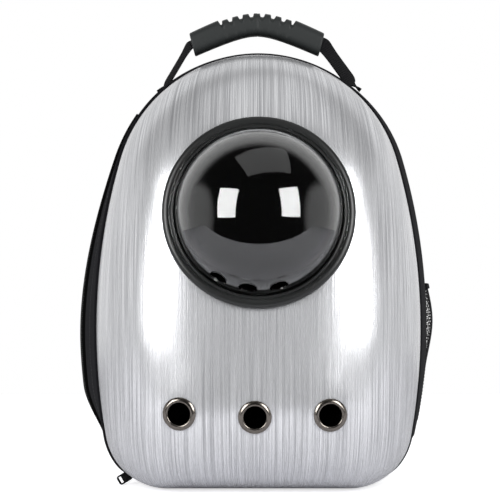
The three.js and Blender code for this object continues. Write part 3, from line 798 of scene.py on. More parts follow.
@dataclass(frozen=True)
class ShellForm:
    """Shape of the moulded front: a flat-faced dome over the outline that leans back towards its top."""

    depth: float = 105.0
    wall: float = 2.5
    flatness: float = 4.0
    crown_z: float = 165.0
    lean: float = 0.25

    def lean_at(self, z: Array) -> Array:
        """Share of the depth that is left at a height."""
        return 1 - self.lean * (z - self.crown_z) / (OUTLINE.height - self.crown_z)

    def place(self, station: Array, spread: Array, grow: float) -> Array:
        """Points on the shell grown by an offset, by station and share of the way out from its crown."""
        rim = OUTLINE.offset(station, grow, 0.0)
        z = self.crown_z + (rim[..., 2] - self.crown_z) * spread
        stand = np.sqrt(np.clip(1 - np.asarray(spread, float) ** self.flatness, 0.0, 1.0))
        y = OUTLINE.seam_y - (self.depth + grow) * stand * self.lean_at(z)
        return np.stack(np.broadcast_arrays(rim[..., 0] * spread, y, z), -1)

    def y_at(self, x: Array, z: Array) -> Array:
        """Depth of the shell's face at places seen from the front."""
        ring = OUTLINE.trace(np.linspace(0, STATIONS, 1841))
        angles = np.arctan2(ring[:, 1] - self.crown_z, ring[:, 0])
        reaches = np.hypot(ring[:, 0], ring[:, 1] - self.crown_z)
        order = np.argsort(angles)
        towards = np.arctan2(z - self.crown_z, x)
        reach = np.interp(towards, angles[order], reaches[order], period=math.tau)
        spread = np.clip(np.hypot(x, z - self.crown_z) / reach, 0.0, 1.0)
        stand = np.sqrt(1 - spread**self.flatness)
        return OUTLINE.seam_y - self.depth * stand * self.lean_at(z)

    def seat(self, x: float, z: float, step: float = 4.0) -> Seat:
        """Place and outward direction on the shell's face."""
        slope_x = (self.y_at(x + step, z) - self.y_at(x - step, z)) / (2 * step)
        slope_z = (self.y_at(x, z + step) - self.y_at(x, z - step)) / (2 * step)
        axis = np.array([slope_x, -1.0, slope_z], float)
        return Seat(np.array([x, self.y_at(x, z), z], float), axis / np.linalg.norm(axis))

    def height_over(self, seat: Seat, angle: Array, radius: float) -> Array:
        """Height of the shell's face along a seat's axis, at a radius round it."""
        out = seat.place + seat.radial(angle) * radius
        height = np.zeros(len(out))
        for _ in range(24):
            here = out + height[:, None] * seat.axis
            height = height + (here[:, 1] - self.y_at(here[:, 0], here[:, 2])) * 0.9
        return height


SHELL = ShellForm()
WINDOW_SEAT = SHELL.seat(0.0, 265.5)


def line_inside(mesh: Mesh) -> None:
    """Give the faces that look into the carrier their second finish, the lining."""
    heart = Vector((0.0, OUTLINE.seam_y * MM, SHELL.crown_z * MM))
    for face in mesh.polygons:
        out = face.normal.dot((face.center - heart).normalized())
        face.material_index = 0 if out > 0.05 else 1


class Bench:
    """Hands finished pieces over to the shared frame and counts them."""

    def __init__(self) -> None:
        """Start with an empty bench."""
        self.count = 0

    def add(self, piece: Object, slot: Slot, *nodes: str) -> Object:
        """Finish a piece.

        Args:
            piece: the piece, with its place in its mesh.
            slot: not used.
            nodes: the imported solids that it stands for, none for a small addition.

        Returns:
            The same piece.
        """
        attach(piece, "root")
        if nodes:
            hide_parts(*nodes)
        self.count += 1
        LOG.info("%s: %d faces", piece.name, len(piece.data.polygons))
        return piece


def open_tree(name: str, kinds: dict[str, str]) -> tuple[NodeTree, dict[str, str]]:
    """Start a node tree that takes and gives geometry.

    Args:
        name: the tree's name.
        kinds: socket types of its further inputs, by name.

    Returns:
        The tree, and the identifiers of the further inputs by name.
    """
    tree = bpy.data.node_groups.new(name, "GeometryNodeTree")
    face = tree.interface
    face.new_socket("Geometry", in_out="INPUT", socket_type="NodeSocketGeometry")
    keys = {}
    for key, kind in kinds.items():
        keys[key] = face.new_socket(key, in_out="INPUT", socket_type=kind).identifier
    face.new_socket("Geometry", in_out="OUTPUT", socket_type="NodeSocketGeometry")
    return tree, keys


def run_tree(piece: Object, tree: NodeTree, values: dict[str, object]) -> None:
    """Run a node tree on a piece and leave plain mesh.

    Args:
        piece: the piece, with the mesh that the tree starts from.
        tree: the node tree.
        values: what its inputs get, by identifier.
    """
    live = piece.modifiers.new(tree.name, "NODES")
    live.node_group = tree
    for key, value in values.items():
        live[key] = value
    bake(piece)


@dataclass(frozen=True)
class RowOfStitches:
    """Node tree that sets small shapes along a path: stitches, or the teeth of a zip."""

    name: str
    pitch: float
    size: tuple[float, float, float]
    stagger: float = 0.0
    sides: int = 6
    rings: int = 4

    def tree(self) -> tuple[NodeTree, dict[str, str]]:
        """Build the node tree.

        Returns:
            The tree, and the identifiers of its inputs by name.
        """
        kinds = {
            "Pitch": "NodeSocketFloat",
            "Size": "NodeSocketVector",
            "Stagger": "NodeSocketFloat",
            "Material": "NodeSocketMaterial",
        }
        tree, keys = open_tree(self.name, kinds)
        wiring = Wiring(tree)
        given = wiring.add("NodeGroupInput").outputs
        line = wiring.made("GeometryNodeMeshToCurve", {"Mesh": given["Geometry"]})
        paced = {"Curve": line, "Length": given["Pitch"]}
        marks = wiring.made("GeometryNodeResampleCurve", paced, mode="LENGTH")
        along = wiring.made("GeometryNodeInputTangent")
        out = wiring.made("GeometryNodeInputNamedAttribute", {"Name": "outward"}, data_type="FLOAT_VECTOR")
        axes = {"Primary Axis": along, "Secondary Axis": out}
        turn = wiring.made("FunctionNodeAxesToRotation", axes, primary_axis="X", secondary_axis="Z")
        across = wiring.made("ShaderNodeVectorMath", {0: out, 1: along}, operation="CROSS_PRODUCT")
        index = wiring.made("GeometryNodeInputIndex")
        hand = wiring.calc("SUBTRACT", wiring.calc("MULTIPLY", wiring.calc("MODULO", index, 2.0), 2.0), 1.0)
        shift = wiring.calc("MULTIPLY", hand, given["Stagger"])
        moved = wiring.made("ShaderNodeVectorMath", {0: across, "Scale": shift}, operation="SCALE")
        marks = wiring.made("GeometryNodeSetPosition", {"Geometry": marks, "Offset": moved})
        ball = {"Segments": self.sides, "Rings": self.rings, "Radius": 1.0}
        shape = wiring.made("GeometryNodeMeshUVSphere", ball)
        placed = {"Points": marks, "Instance": shape, "Rotation": turn, "Scale": given["Size"]}
        many = wiring.made("GeometryNodeInstanceOnPoints", placed)
        solid = wiring.made("GeometryNodeRealizeInstances", {"Geometry": many})
        soft = wiring.made("GeometryNodeSetShadeSmooth", {"Geometry": solid})
        dressed = wiring.made("GeometryNodeSetMaterial", {"Geometry": soft, "Material": given["Material"]})
        wiring.add("NodeGroupOutput", {"Geometry": dressed})
        return tree, keys

    def sew(self, name: str, paths: Sequence[tuple[Array, Array]], finish: Finish) -> Object:
        """Set the shapes along paths.

        Args:
            name: the new piece's name.
            paths: points of each path in millimetres, and the outward direction at each.
            finish: what the shapes are made of.

        Returns:
            The new piece, as plain mesh.
        """
        points = np.vstack([path for path, _ in paths]) * MM
        edges, start = [], 0
        for path, _ in paths:
            edges += [(start + i, start + i + 1) for i in range(len(path) - 1)]
            start += len(path)
        mesh = bpy.data.meshes.new(name)
        mesh.from_pydata(points.tolist(), edges, [])
        out = mesh.attributes.new("outward", "FLOAT_VECTOR", "POINT")
        out.data.foreach_set("vector", np.vstack([way for _, way in paths]).astype(np.float32).ravel())
        piece = new_object(name, mesh)
        tree, keys = self.tree()
        values = {
            keys["Pitch"]: self.pitch * MM,
            keys["Size"]: [s * MM for s in self.size],
            keys["Stagger"]: self.stagger * MM,
            keys["Material"]: finish.material(),
        }
        run_tree(piece, tree, values)
        return piece


STITCH_LIFT = 0.12
SEAM_STITCH = RowOfStitches("seam_stitches", 3.4, (1.25, 0.32, 0.28))
ZIP_TEETH = RowOfStitches("zip_teeth", 2.0, (0.6, 2.2, 1.4), stagger=0.4, sides=8, rings=5)


@dataclass(frozen=True)
class KnittedNet:
    """Node tree that turns a lattice of edges into yarn."""

    yarn: float = 0.46
    sides: int = 4

    def tree(self) -> tuple[NodeTree, dict[str, str]]:
        """Build the node tree.

        Returns:
            The tree, and the identifiers of its inputs by name.
        """
        kinds = {"Yarn radius": "NodeSocketFloat", "Sides": "NodeSocketInt", "Material": "NodeSocketMaterial"}
        tree, keys = open_tree("knitted_net", kinds)
        wiring = Wiring(tree)
        given = wiring.add("NodeGroupInput").outputs
        lines = wiring.made("GeometryNodeMeshToCurve", {"Mesh": given["Geometry"]})
        round_it = {"Resolution": given["Sides"], "Radius": given["Yarn radius"]}
        section = wiring.made("GeometryNodeCurvePrimitiveCircle", round_it)
        yarn = {"Curve": lines, "Profile Curve": section, "Fill Caps": True}
        tubes = wiring.made("GeometryNodeCurveToMesh", yarn)
        solid = wiring.made("GeometryNodeRealizeInstances", {"Geometry": tubes})
        dressed = wiring.made("GeometryNodeSetMaterial", {"Geometry": solid, "Material": given["Material"]})
        wiring.add("NodeGroupOutput", {"Geometry": dressed})
        return tree, keys

    def knit(self, name: str, points: Array, edges: Sequence[tuple[int, int]], finish: Finish) -> Object:
        """Turn a lattice into yarn.

        Args:
            name: the new piece's name.
            points: the lattice's points in millimetres.
            edges: pairs of points that a strand joins.
            finish: the yarn's finish.

        Returns:
            The net, as plain mesh.
        """
        mesh = bpy.data.meshes.new(name)
        mesh.from_pydata((points * MM).tolist(), list(edges), [])
        piece = new_object(name, mesh)
        tree, keys = self.tree()
        values = {
            keys["Yarn radius"]: self.yarn * MM,
            keys["Sides"]: self.sides,
            keys["Material"]: finish.material(),
        }
        run_tree(piece, tree, values)
        return piece


@dataclass(frozen=True)
class Filling:
    """Foam under a sewn cover: cloth simulation blows the cover up between its seams, kept near its solid."""

    pressure: float = 8.0
    mass: float = 0.02
    cap: float = 1.6
    frames: int = 10
    quality: int = 3

    def fill(self, piece: Object, free: Array) -> None:
        """Blow a closed cover up over its filling and leave it as plain, finer mesh.

        Args:
            piece: the cover before it is filled.
            free: which of its points no seam holds.
        """
        self.blow_up(piece, free)
        refine(piece)

    def blow_up(self, piece: Object, free: Array) -> None:
        """Run the cloth simulation.

        Args:
            piece: the cover.
            free: which of its points no seam holds.
        """
        scene = bpy.context.scene
        start = vertex_places(piece.data)
        seams = piece.vertex_groups.new(name="seams")
        seams.add(np.flatnonzero(~free).tolist(), 1.0, "REPLACE")
        cover = piece.modifiers.new("cover", "CLOTH")
        cover.settings.vertex_group_mass = seams.name
        cover.settings.mass = self.mass
        cover.settings.use_pressure = True
        cover.settings.uniform_pressure_force = self.pressure
        cover.settings.effector_weights.gravity = 0.0
        cover.settings.quality = self.quality
        cover.point_cache.frame_start = 1
        cover.point_cache.frame_end = self.frames
        for number in range(1, self.frames + 1):
            scene.frame_set(number)
        shaped = piece.evaluated_get(bpy.context.evaluated_depsgraph_get())
        swollen = vertex_places(shaped.data)
        piece.modifiers.clear()
        piece.vertex_groups.clear()
        scene.frame_set(1)
        move = swollen - start
        far = np.linalg.norm(move, axis=1, keepdims=True)
        move = move * np.minimum(1.0, self.cap * MM / np.maximum(far, 1e-9))
        LOG.info("%s: filled out by up to %.1f mm", piece.name, np.linalg.norm(move, axis=1).max() / MM)
        piece.data.vertices.foreach_set("co", (start + move).ravel())
        piece.data.update()


def swept(name: str, path: Array, axes: tuple[Array, Array], section: Array, finish: Finish) -> Object:
    """Sweep a strip's section along a path.

    Args:
        name: the new piece's name.
        path: the section's middle at each row, in millimetres.
        axes: directions of its width and of its thickness at each row.
        section: its points by width and thickness.
        finish: its finish.

    Returns:
        The strip.
    """
    wide, over = axes
    points = path[:, None] + wide[:, None] * section[:, :1] + over[:, None] * section[:, 1:]
    return tube(name, points, Closing.CAPPED, finish, weave=strip_weave(path, points[0]))


def copy_of(node: str, name: str, *finishes: Finish) -> Object:
    """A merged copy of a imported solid.

    Args:
        node: the solid's name.
        name: the copy's name.
        finishes: the copy's finishes.

    Returns:
        The copy, which may be reshaped.
    """
    source = bpy.data.objects[node]
    mesh = source.data.copy()
    mesh.transform(source.matrix_world)
    mesh.materials.clear()
    with editing(mesh) as work:
        bmesh.ops.remove_doubles(work, verts=work.verts, dist=0.01 * MM)
    return new_object(name, mesh, *finishes)


def eased_copy(node: str, name: str, ease: float, finish: Finish) -> Object:
    """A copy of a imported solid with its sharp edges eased.

    Args:
        node: the solid's name.
        name: the copy's name.
        ease: width of the eased edges, in millimetres.
        finish: the copy's finish.

    Returns:
        The eased copy, with a flat weave map for finishes that use one.
    """
    piece = copy_of(node, name, finish)
    flat = math.radians(2.0)
    with editing(piece.data) as work:
        bmesh.ops.dissolve_limit(work, angle_limit=flat, verts=work.verts, edges=work.edges)
    edge = piece.modifiers.new("eased", "BEVEL")
    edge.width = ease * MM
    edge.segments = 3
    edge.limit_method = "ANGLE"
    edge.angle_limit = math.radians(35)
    bake(piece)
    shade(piece.data, 50.0)
    flat_weave(piece.data)
    return piece


def flat_weave(mesh: Mesh) -> None:
    """Lay a weave map over a mesh from behind: its run up Z and its width along X, in metres."""
    spread = vertex_places(mesh)[corner_points(mesh)][:, [2, 0]]
    mesh.uv_layers.new(name="weave").data.foreach_set("uv", spread.ravel())


@dataclass
class FrontShell:
    """Moulded silver front with its window hole and vent holes."""

    window_hole: float = 80.0
    per_station: int = 6
    rim_rows: int = 22
    face_rows: int = 28
    draw_in: float = 0.22
    corner_x: tuple[float, float] = (60.0, 90.0)
    corner_z: tuple[float, float] = (120.0, 200.0)
    corner_fade: tuple[float, float] = (20.0, 60.0)
    corner_bend: float = 5.5
    front_facing: float = -0.2
    rim_turn: float = 62.0
    window_drill: float = 30.0
    vent_drill: float = 15.0

    def build(self, bench: Bench, eyelets: "Eyelets") -> None:
        """Build the shell, cut its holes and dress it."""
        station = np.arange(0, STATIONS, 1 / self.per_station)[None, :]
        rim = np.cos(np.radians(np.linspace(0, self.rim_turn, self.rim_rows))) ** (2 / SHELL.flatness)
        spread = np.concatenate([rim, np.linspace(rim[-1], 0.0, self.face_rows)[1:]])[:, None]
        outer = SHELL.place(station, spread[::-1], 0.0)
        inner = SHELL.place(station, spread, -SHELL.wall)
        rows = np.concatenate([outer, inner])
        shell = tube("front_shell_skin", rows, Closing.POLES, SILVER_FOIL, LINING_CLOTH)
        cutters = [drill(WINDOW_SEAT, self.window_hole, self.window_drill, 128)]
        for seat in eyelets.seats().values():
            cutters.append(drill(seat, eyelets.tube + GAP, self.vent_drill, 48))
        cut(shell, cutters)
        line_inside(shell.data)
        self.brush(shell.data)
        shade(shell.data)
        self.ease_corners(shell.data)
        bench.add(shell, Slot.SILVER, "front_shell")

    def ease_corners(self, mesh: Mesh) -> None:
        """Bend the shading down over the lower corners, where the moulding starts to turn under."""
        x, _, z = vertex_places(mesh)[corner_points(mesh)].T / MM
        out = np.empty(len(mesh.loops) * 3)
        mesh.corner_normals.foreach_get("vector", out)
        out = out.reshape(-1, 3)
        share = smooth(np.abs(x), *self.corner_x) * (1 - smooth(z, *self.corner_z))
        share = share * smooth(z, *self.corner_fade)
        bend = np.where(out[:, 1] < self.front_facing, np.radians(self.corner_bend) * share, 0.0)
        y_part = out[:, 1] * np.cos(bend) - out[:, 2] * np.sin(bend)
        z_part = out[:, 2] * np.cos(bend) + out[:, 1] * np.sin(bend)
        mesh.normals_split_custom_set(np.stack([out[:, 0], y_part, z_part], -1).tolist())

    def brush(self, mesh: Mesh) -> None:
        """Lay the foil's brush map, whose lines draw in towards the middle at the shell's rim."""
        x, y, z = vertex_places(mesh).T / MM
        stand = (OUTLINE.seam_y - y) / (SHELL.depth * SHELL.lean_at(z))
        low = 1 - np.clip(stand, 0.0, 1.0)
        film = np.stack([x * (1 + self.draw_in * low**2), z], -1) * MM
        mesh.uv_layers.new(name="brush").data.foreach_set("uv", film[corner_points(mesh)].ravel())


@dataclass
class WindowRing:
    """Round ring that clamps the window, with a skirt that follows the shell."""

    inner: float = 79.0
    outer: float = 90.0
    groove: float = 81.7
    skirt: float = 3.4
    segments: int = 160

    def build(self, bench: Bench) -> None:
        """Turn the ring's section round the window's axis."""
        angles = full_turn(self.segments)
        low = SHELL.height_over(WINDOW_SEAT, angles, self.outer) + GAP
        low_in = SHELL.height_over(WINDOW_SEAT, angles, self.outer - self.skirt) + GAP
        sections = []
        for foot, foot_in in zip(low, low_in):
            corners = [
                (self.inner, 1.2),
                (self.inner, 6.0),
                (self.groove - 0.8, 6.0),
                (self.groove, 4.6),
                (self.groove + 0.8, 5.6),
                (self.groove + 3.0, 6.3),
                (self.outer - 2.8, 5.9),
                (self.outer - 0.8, 4.7),
                (self.outer, 3.0),
                (self.outer, min(foot, 1.5)),
                (self.outer - self.skirt, min(foot_in, 1.0)),
                (self.outer - self.skirt, 1.2),
            ]
            sections.append(rounded(corners, 1.0, 4))
        points = WINDOW_SEAT.turned(np.array(sections), self.segments)
        ring = tube("window_ring_body", points, Closing.RING, RING_PLASTIC, sharp=50.0)
        bench.add(ring, Slot.RING, "window_ring")


@dataclass
class WindowDome:
    """Clear dome with three vent holes low down."""

    radius: float = 78.0
    height: float = 70.0
    neck: float = 3.0
    wall: float = 2.0
    flange: float = 86.0
    flange_top: float = 0.8
    rows: int = 36
    segments: int = 144
    vent_radius: float = 8.7
    vent_reach: float = 75.0
    vent_height: float = 22.4
    vent_steep: float = 74.5
    vent_drill: float = 12.0
    vent_angles: tuple[float, ...] = (-30.0, -7.9, 14.2)

    def profile(self) -> Array:
        """Radius and height round the dome's wall, from the tip down outside and back up inside."""
        turn = np.linspace(math.pi / 2, 0.0, self.rows)
        inner = self.radius - self.wall
        outside = np.stack([self.radius * np.cos(turn), self.neck + self.height * np.sin(turn)], -1)
        foot = [
            (self.radius, self.flange_top),
            (self.flange, self.flange_top),
            (self.flange, self.flange_top - self.wall),
            (inner, self.flange_top - self.wall),
        ]
        back = turn[::-1]
        inside = np.stack([inner * np.cos(back), self.neck + (self.height - self.wall) * np.sin(back)], -1)
        return np.vstack([outside, foot, inside])

    def build(self, bench: Bench) -> None:
        """Turn the dome and drill its vents."""
        points = WINDOW_SEAT.turned(self.profile(), self.segments).transpose(1, 0, 2)
        dome = tube("window_dome_clear", points, Closing.POLES, DOME_ACRYLIC)
        cutters = []
        for angle in self.vent_angles:
            out = WINDOW_SEAT.radial(math.radians(angle))
            place = WINDOW_SEAT.place + out * self.vent_reach + WINDOW_SEAT.axis * self.vent_height
            steep = math.radians(self.vent_steep)
            axis = out * math.sin(steep) + WINDOW_SEAT.axis * math.cos(steep)
            cutters.append(drill(Seat(place, axis), self.vent_radius, self.vent_drill, 40))
        cut(dome, cutters)
        shade(dome.data)
        bench.add(dome, Slot.ACRYLIC, "window_dome")


@dataclass
class Eyelets:
    """Metal eyelets rolled over the shell's three vent holes."""

    places: dict[str, tuple[float, float]] = field(
        default_factory=lambda: {"left": (-73.3, 79.8), "middle": (-3.7, 76.8), "right": (65.7, 78.7)}
    )
    bore: float = 10.2
    tube: float = 11.2
    crest: float = 12.8
    flange: float = 15.6
    rise: float = 2.6
    tail: float = 5.0
    segments: int = 72

    def seats(self) -> dict[str, Seat]:
        """Where each eyelet sits on the shell, by side."""
        return {side: SHELL.seat(*place) for side, place in self.places.items()}

    def profile(self) -> Array:
        """Radius and height round the eyelet's wall."""
        corners = [
            (self.bore, -self.tail),
            (self.bore, self.rise - 1.2),
            (self.bore + 0.9, self.rise),
            (self.crest, self.rise + 0.05),
            (self.flange - 1.2, self.rise - 0.7),
            (self.flange, 3 * GAP),
            (self.flange - 0.6, 2 * GAP),
            (self.tube, 2 * GAP),
            (self.tube, -self.tail),
        ]
        return rounded(corners, 1.2, 5)

    def build(self, bench: Bench) -> None:
        """Turn the three eyelets."""
        for side, seat in self.seats().items():
            points = seat.turned(self.profile(), self.segments)
            eyelet = tube(f"eyelet_{side}", points, Closing.RING, EYELET_METAL, sharp=60.0)
            bench.add(eyelet, Slot.GUNMETAL, f"grommet_{side}")


@dataclass
class EdgePiping:
    """Cloth piping round the shell's rim."""

    radius: float = 2.2
    proud: float = 2.0
    proud_left: float = 1.4
    proud_right: float = 0.5
    side_x: tuple[float, float] = (30.0, 110.0)
    floor_inset: float = 0.2
    floor_z: float = 24.0
    sides: int = 14
    per_station: int = 6

    def build(self, bench: Bench) -> None:
        """Sweep the piping round the outline."""
        station = np.arange(0, STATIONS, 1 / self.per_station)
        x, z = OUTLINE.trace(station)[:, :2].T
        beside = self.proud_left * smooth(-x, *self.side_x) + self.proud_right * smooth(x, *self.side_x)
        proud = -self.floor_inset + (self.proud + beside + self.floor_inset) * smooth(z, 0.0, self.floor_z)
        turn = full_turn(self.sides)
        grow = proud[:, None] + self.radius * (np.cos(turn) - 1)
        y = OUTLINE.seam_y + GAP + self.radius * (1 + np.sin(turn))
        points = OUTLINE.offset(station[:, None], grow, y[None, :])
        along = OUTLINE.runs(station)
        u, v = np.meshgrid(along, np.linspace(0.0, math.tau * self.radius, self.sides + 1), indexing="ij")
        weave = np.stack([u, v], -1) * MM
        piping = tube("edge_piping_cloth", points, Closing.RING, PIPING_CLOTH, weave=weave)
        bench.add(piping, Slot.CLOTH, "edge_piping")


class Part(Enum):
    """What part of a sewn pad a row or a column of its cover belongs to."""

    LINING = "lining"
    BINDING = "binding"
    SEAM = "seam"
    FACE = "face"


class PanelRow(NamedTuple):
    """One row of the back panel's cover, from its lining round its rim to its face."""

    behind: float
    inset: float
    part: Part


PANEL_ROWS = (
    PanelRow(145.3, 40.0, Part.LINING),
    PanelRow(145.3, 14.0, Part.LINING),
    PanelRow(145.3, 5.0, Part.BINDING),
    PanelRow(146.4, 3.6, Part.BINDING),
    PanelRow(148.0, 3.1, Part.BINDING),
    PanelRow(151.0, 3.1, Part.BINDING),
    PanelRow(153.4, 3.9, Part.BINDING),
    PanelRow(155.2, 5.8, Part.BINDING),
    PanelRow(156.0, 8.4, Part.BINDING),
    PanelRow(155.9, 10.6, Part.BINDING),
    PanelRow(155.1, 11.8, Part.SEAM),
    PanelRow(155.0, 12.6, Part.SEAM),
    PanelRow(155.8, 13.6, Part.FACE),
    PanelRow(156.8, 15.5, Part.FACE),
    PanelRow(157.6, 18.5, Part.FACE),
    PanelRow(158.2, 23.0, Part.FACE),
    PanelRow(158.5, 30.0, Part.FACE),
    PanelRow(158.6, 40.0, Part.FACE),
)


@dataclass
class SoftBody:
    """Soft wall behind the seam, and the padded panel that closes the back."""

    wall: float = 2.0
    rows: int = 34
    per_station: int = 6
    per_panel: int = 3
    panel: Filling = Filling(cap=1.2)
    panel_face: float = 94.5
    panel_middle_z: float = 205.0
    panel_shares: tuple[float, ...] = (0.8, 0.6, 0.4, 0.2, 0.05)
    base_lift: float = 3.0
    corner_cut: float = 9.0
    cloth_depth: float = 0.142
    rear_seam: float = 137.0
    base_free: float = 3.0
    face_ease: float = 0.1
    panel_stitch_lift: float = 0.3

    def build(self, bench: Bench) -> None:
        """Build the wall and the panel."""
        station = np.arange(0, STATIONS, 1 / self.per_station)[:, None]
        depths = np.linspace(WALL.rows[0].behind, WALL.rows[-1].behind, self.rows)
        behind = np.concatenate([depths, depths[::-1]])[None, :]
        lift = np.concatenate([np.zeros(self.rows), -np.full(self.rows, self.wall)])[None, :]
        points = WALL.place(station, behind, lift)
        along = OUTLINE.runs(station)
        u, v = np.meshgrid(along, np.append(behind[0], behind[0, 0]), indexing="ij")
        weave = np.stack([u, v], -1) * MM
        wall = tube("rear_wall_cloth", points, Closing.RING, WALL_CLOTH, LINING_CLOTH, weave=weave)
        line_inside(wall.data)
        bench.add(wall, Slot.CLOTH, "rear_body")
        round_it = np.linspace(self.base_free, STATIONS - self.base_free, 440)
        seam = (WALL.place(round_it, self.rear_seam, STITCH_LIFT), WALL.outward(round_it, self.rear_seam))
        bench.add(SEAM_STITCH.sew("rear_wall_stitches", [seam], THREAD), Slot.CLOTH)
        self.build_panel(bench)

    def panel_row(self, row: PanelRow, station: Array) -> Array:
        """Points of one row of the panel's cover."""
        _, _, nx, nz = np.moveaxis(OUTLINE.trace(station), -1, 0)
        low = np.where(nz < 0, self.corner_cut * 4 * nx**2 * nz**2 + self.base_lift * nz**2, 0.0)
        return OUTLINE.offset(station, -row.inset - low, OUTLINE.seam_y + row.behind)

    def drawn_in(self, row: Array, share: float) -> Array:
        """A row of the panel drawn in towards its middle."""
        middle = np.array([0.0, row[0, 1], self.panel_middle_z])
        return middle + (row - middle) * share

    def build_panel(self, bench: Bench) -> None:
        """Sew the panel's cover, fill it, and keep its face flat where the straps lie on it."""
        station = np.arange(0, STATIONS, 1 / self.per_panel)
        rows = [self.panel_row(row, station) for row in PANEL_ROWS]
        parts = [row.part for row in PANEL_ROWS]
        lining, face = rows[0], rows[-1]
        for share in self.panel_shares:
            rows.insert(0, self.drawn_in(lining, share))
            parts.insert(0, Part.LINING)
            rows.append(self.drawn_in(face, share))
            parts.append(Part.FACE)
        points = np.stack(rows)
        along = OUTLINE.runs(station)
        weave = np.stack(np.meshgrid(run_lengths(points[:, 0]), along, indexing="ij")[::-1], -1)
        flat = np.array([part is Part.FACE for part in parts])
        weave[flat] = np.concatenate([points, points[:, :1]], 1)[flat][..., [2, 0]]
        mesh = tube_mesh("back_panel_pad", points, Closing.CAPPED, weave * MM)
        order = {Part.FACE: 0, Part.LINING: 1, Part.BINDING: 2, Part.SEAM: 2}
        numbers = np.repeat([order[part] for part in parts[:-1]], len(station)).tolist()
        mesh.polygons.foreach_set("material_index", numbers + [1, 0])
        settle(mesh)
        panel = new_object("back_panel_pad", mesh, PAD_FABRIC, LINING_CLOTH, BINDING_CLOTH)
        free = np.repeat([part is Part.FACE for part in parts], len(station))
        self.panel.fill(panel, free)
        for vertex in panel.data.vertices:
            vertex.co.y = min(vertex.co.y, (self.panel_face - self.face_ease) * MM)
        panel.data.update()
        bench.add(panel, Slot.PAD, "back_panel")
        seam = next(row for row in PANEL_ROWS if row.part is Part.SEAM)
        seam = seam._replace(behind=seam.behind + self.panel_stitch_lift)
        line = self.panel_row(seam, np.linspace(0, STATIONS, 500))
        out = np.tile([0.0, 1.0, 0.0], (len(line), 1))
        bench.add(SEAM_STITCH.sew("back_panel_stitches", [(line, out)], THREAD), Slot.PAD)


@dataclass
class SideZip:
    """Closed zip down the left side: tape, teeth, slider, link and pull tab."""

    start: float = 29.0
    end: float = 43.0
    tape: float = 1.0
    tape_edges: tuple[float, float] = (7.0, 34.0)
    core_edges: tuple[float, float] = (17.4, 22.6)
    core_top: float = 3.8
    middle: float = 20.0
    teeth_lift: float = 2.6
    core_ease: float = 0.05
    seam_inset: float = 4.5
    slider_ease: float = 0.35
    tab_ease: float = 0.4
    steps: int = 168
    columns: int = 19

    def build(self, bench: Bench) -> None:
        """Build the tape, set the teeth and dress the hardware."""
        station = np.linspace(self.start, self.end, self.steps)
        top = GAP + self.tape
        tape = self.band("zip_tape_cloth", self.tape_edges, (GAP, top), TAPE_CLOTH)
        bench.add(tape, Slot.WEBBING, "zip_tape")
        length = run_lengths(WALL.place(station, self.middle, top))[-1]
        core = self.band("zip_cord_core", self.core_edges, (top + self.core_ease, self.core_top), ZIP_CORD)
        bench.add(core, Slot.ZIP, "zip_coil")
        line = WALL.place(station, self.middle, self.teeth_lift)
        teeth = ZIP_TEETH.sew("zip_teeth_closed", [(line, WALL.outward(station, self.middle))], ZIP_NYLON)
        bench.add(teeth, Slot.ZIP)
        rows = (self.tape_edges[0] + self.seam_inset, self.tape_edges[1] - self.seam_inset)
        seams = [self.edge_line(station, behind) for behind in rows]
        bench.add(SEAM_STITCH.sew("zip_tape_stitches", seams, THREAD), Slot.WEBBING)
        slider = eased_copy("zip_slider", "zip_slider_body", self.slider_ease, TRIM_PLASTIC)
        bench.add(slider, Slot.PLASTIC, "zip_slider")
        tab = eased_copy("zip_puller", "zip_pull_tab", self.tab_ease, TAB_ENAMEL)
        bench.add(tab, Slot.PLASTIC, "zip_puller")
        self.dress_link(bench)

    def band(
        self, name: str, edges: tuple[float, float], lifts: tuple[float, float], finish: Finish
    ) -> Object:
        """A band along the zip over the soft wall.

        Args:
            name: its name.
            edges: where it starts and ends behind the seam.
            lifts: how far its two faces stand off the wall.
            finish: its finish.

        Returns:
            The band.
        """
        station = np.linspace(self.start, self.end, self.steps)[:, None]
        depths = np.linspace(*edges, self.columns)
        across = np.concatenate([depths, depths[::-1]])[None, :]
        lift = np.repeat(lifts[::-1], self.columns)[None, :]
        points = WALL.place(station, across, lift)
        weave = strip_weave(points[:, self.columns // 2], points[0])
        return tube(name, points, Closing.CAPPED, finish, weave=weave)

    def edge_line(self, station: Array, behind: float) -> tuple[Array, Array]:
        """Path and outward directions of a seam along the tape."""
        lift = GAP + self.tape + STITCH_LIFT
        return WALL.place(station, behind, lift), WALL.outward(station, behind)

    def dress_link(self, bench: Bench) -> None:
        """Round the small link between slider and tab."""
        link = copy_of("zip_ring", "zip_link", LINK_METAL)
        refine(link)
        bench.add(link, Slot.GUNMETAL, "zip_ring")


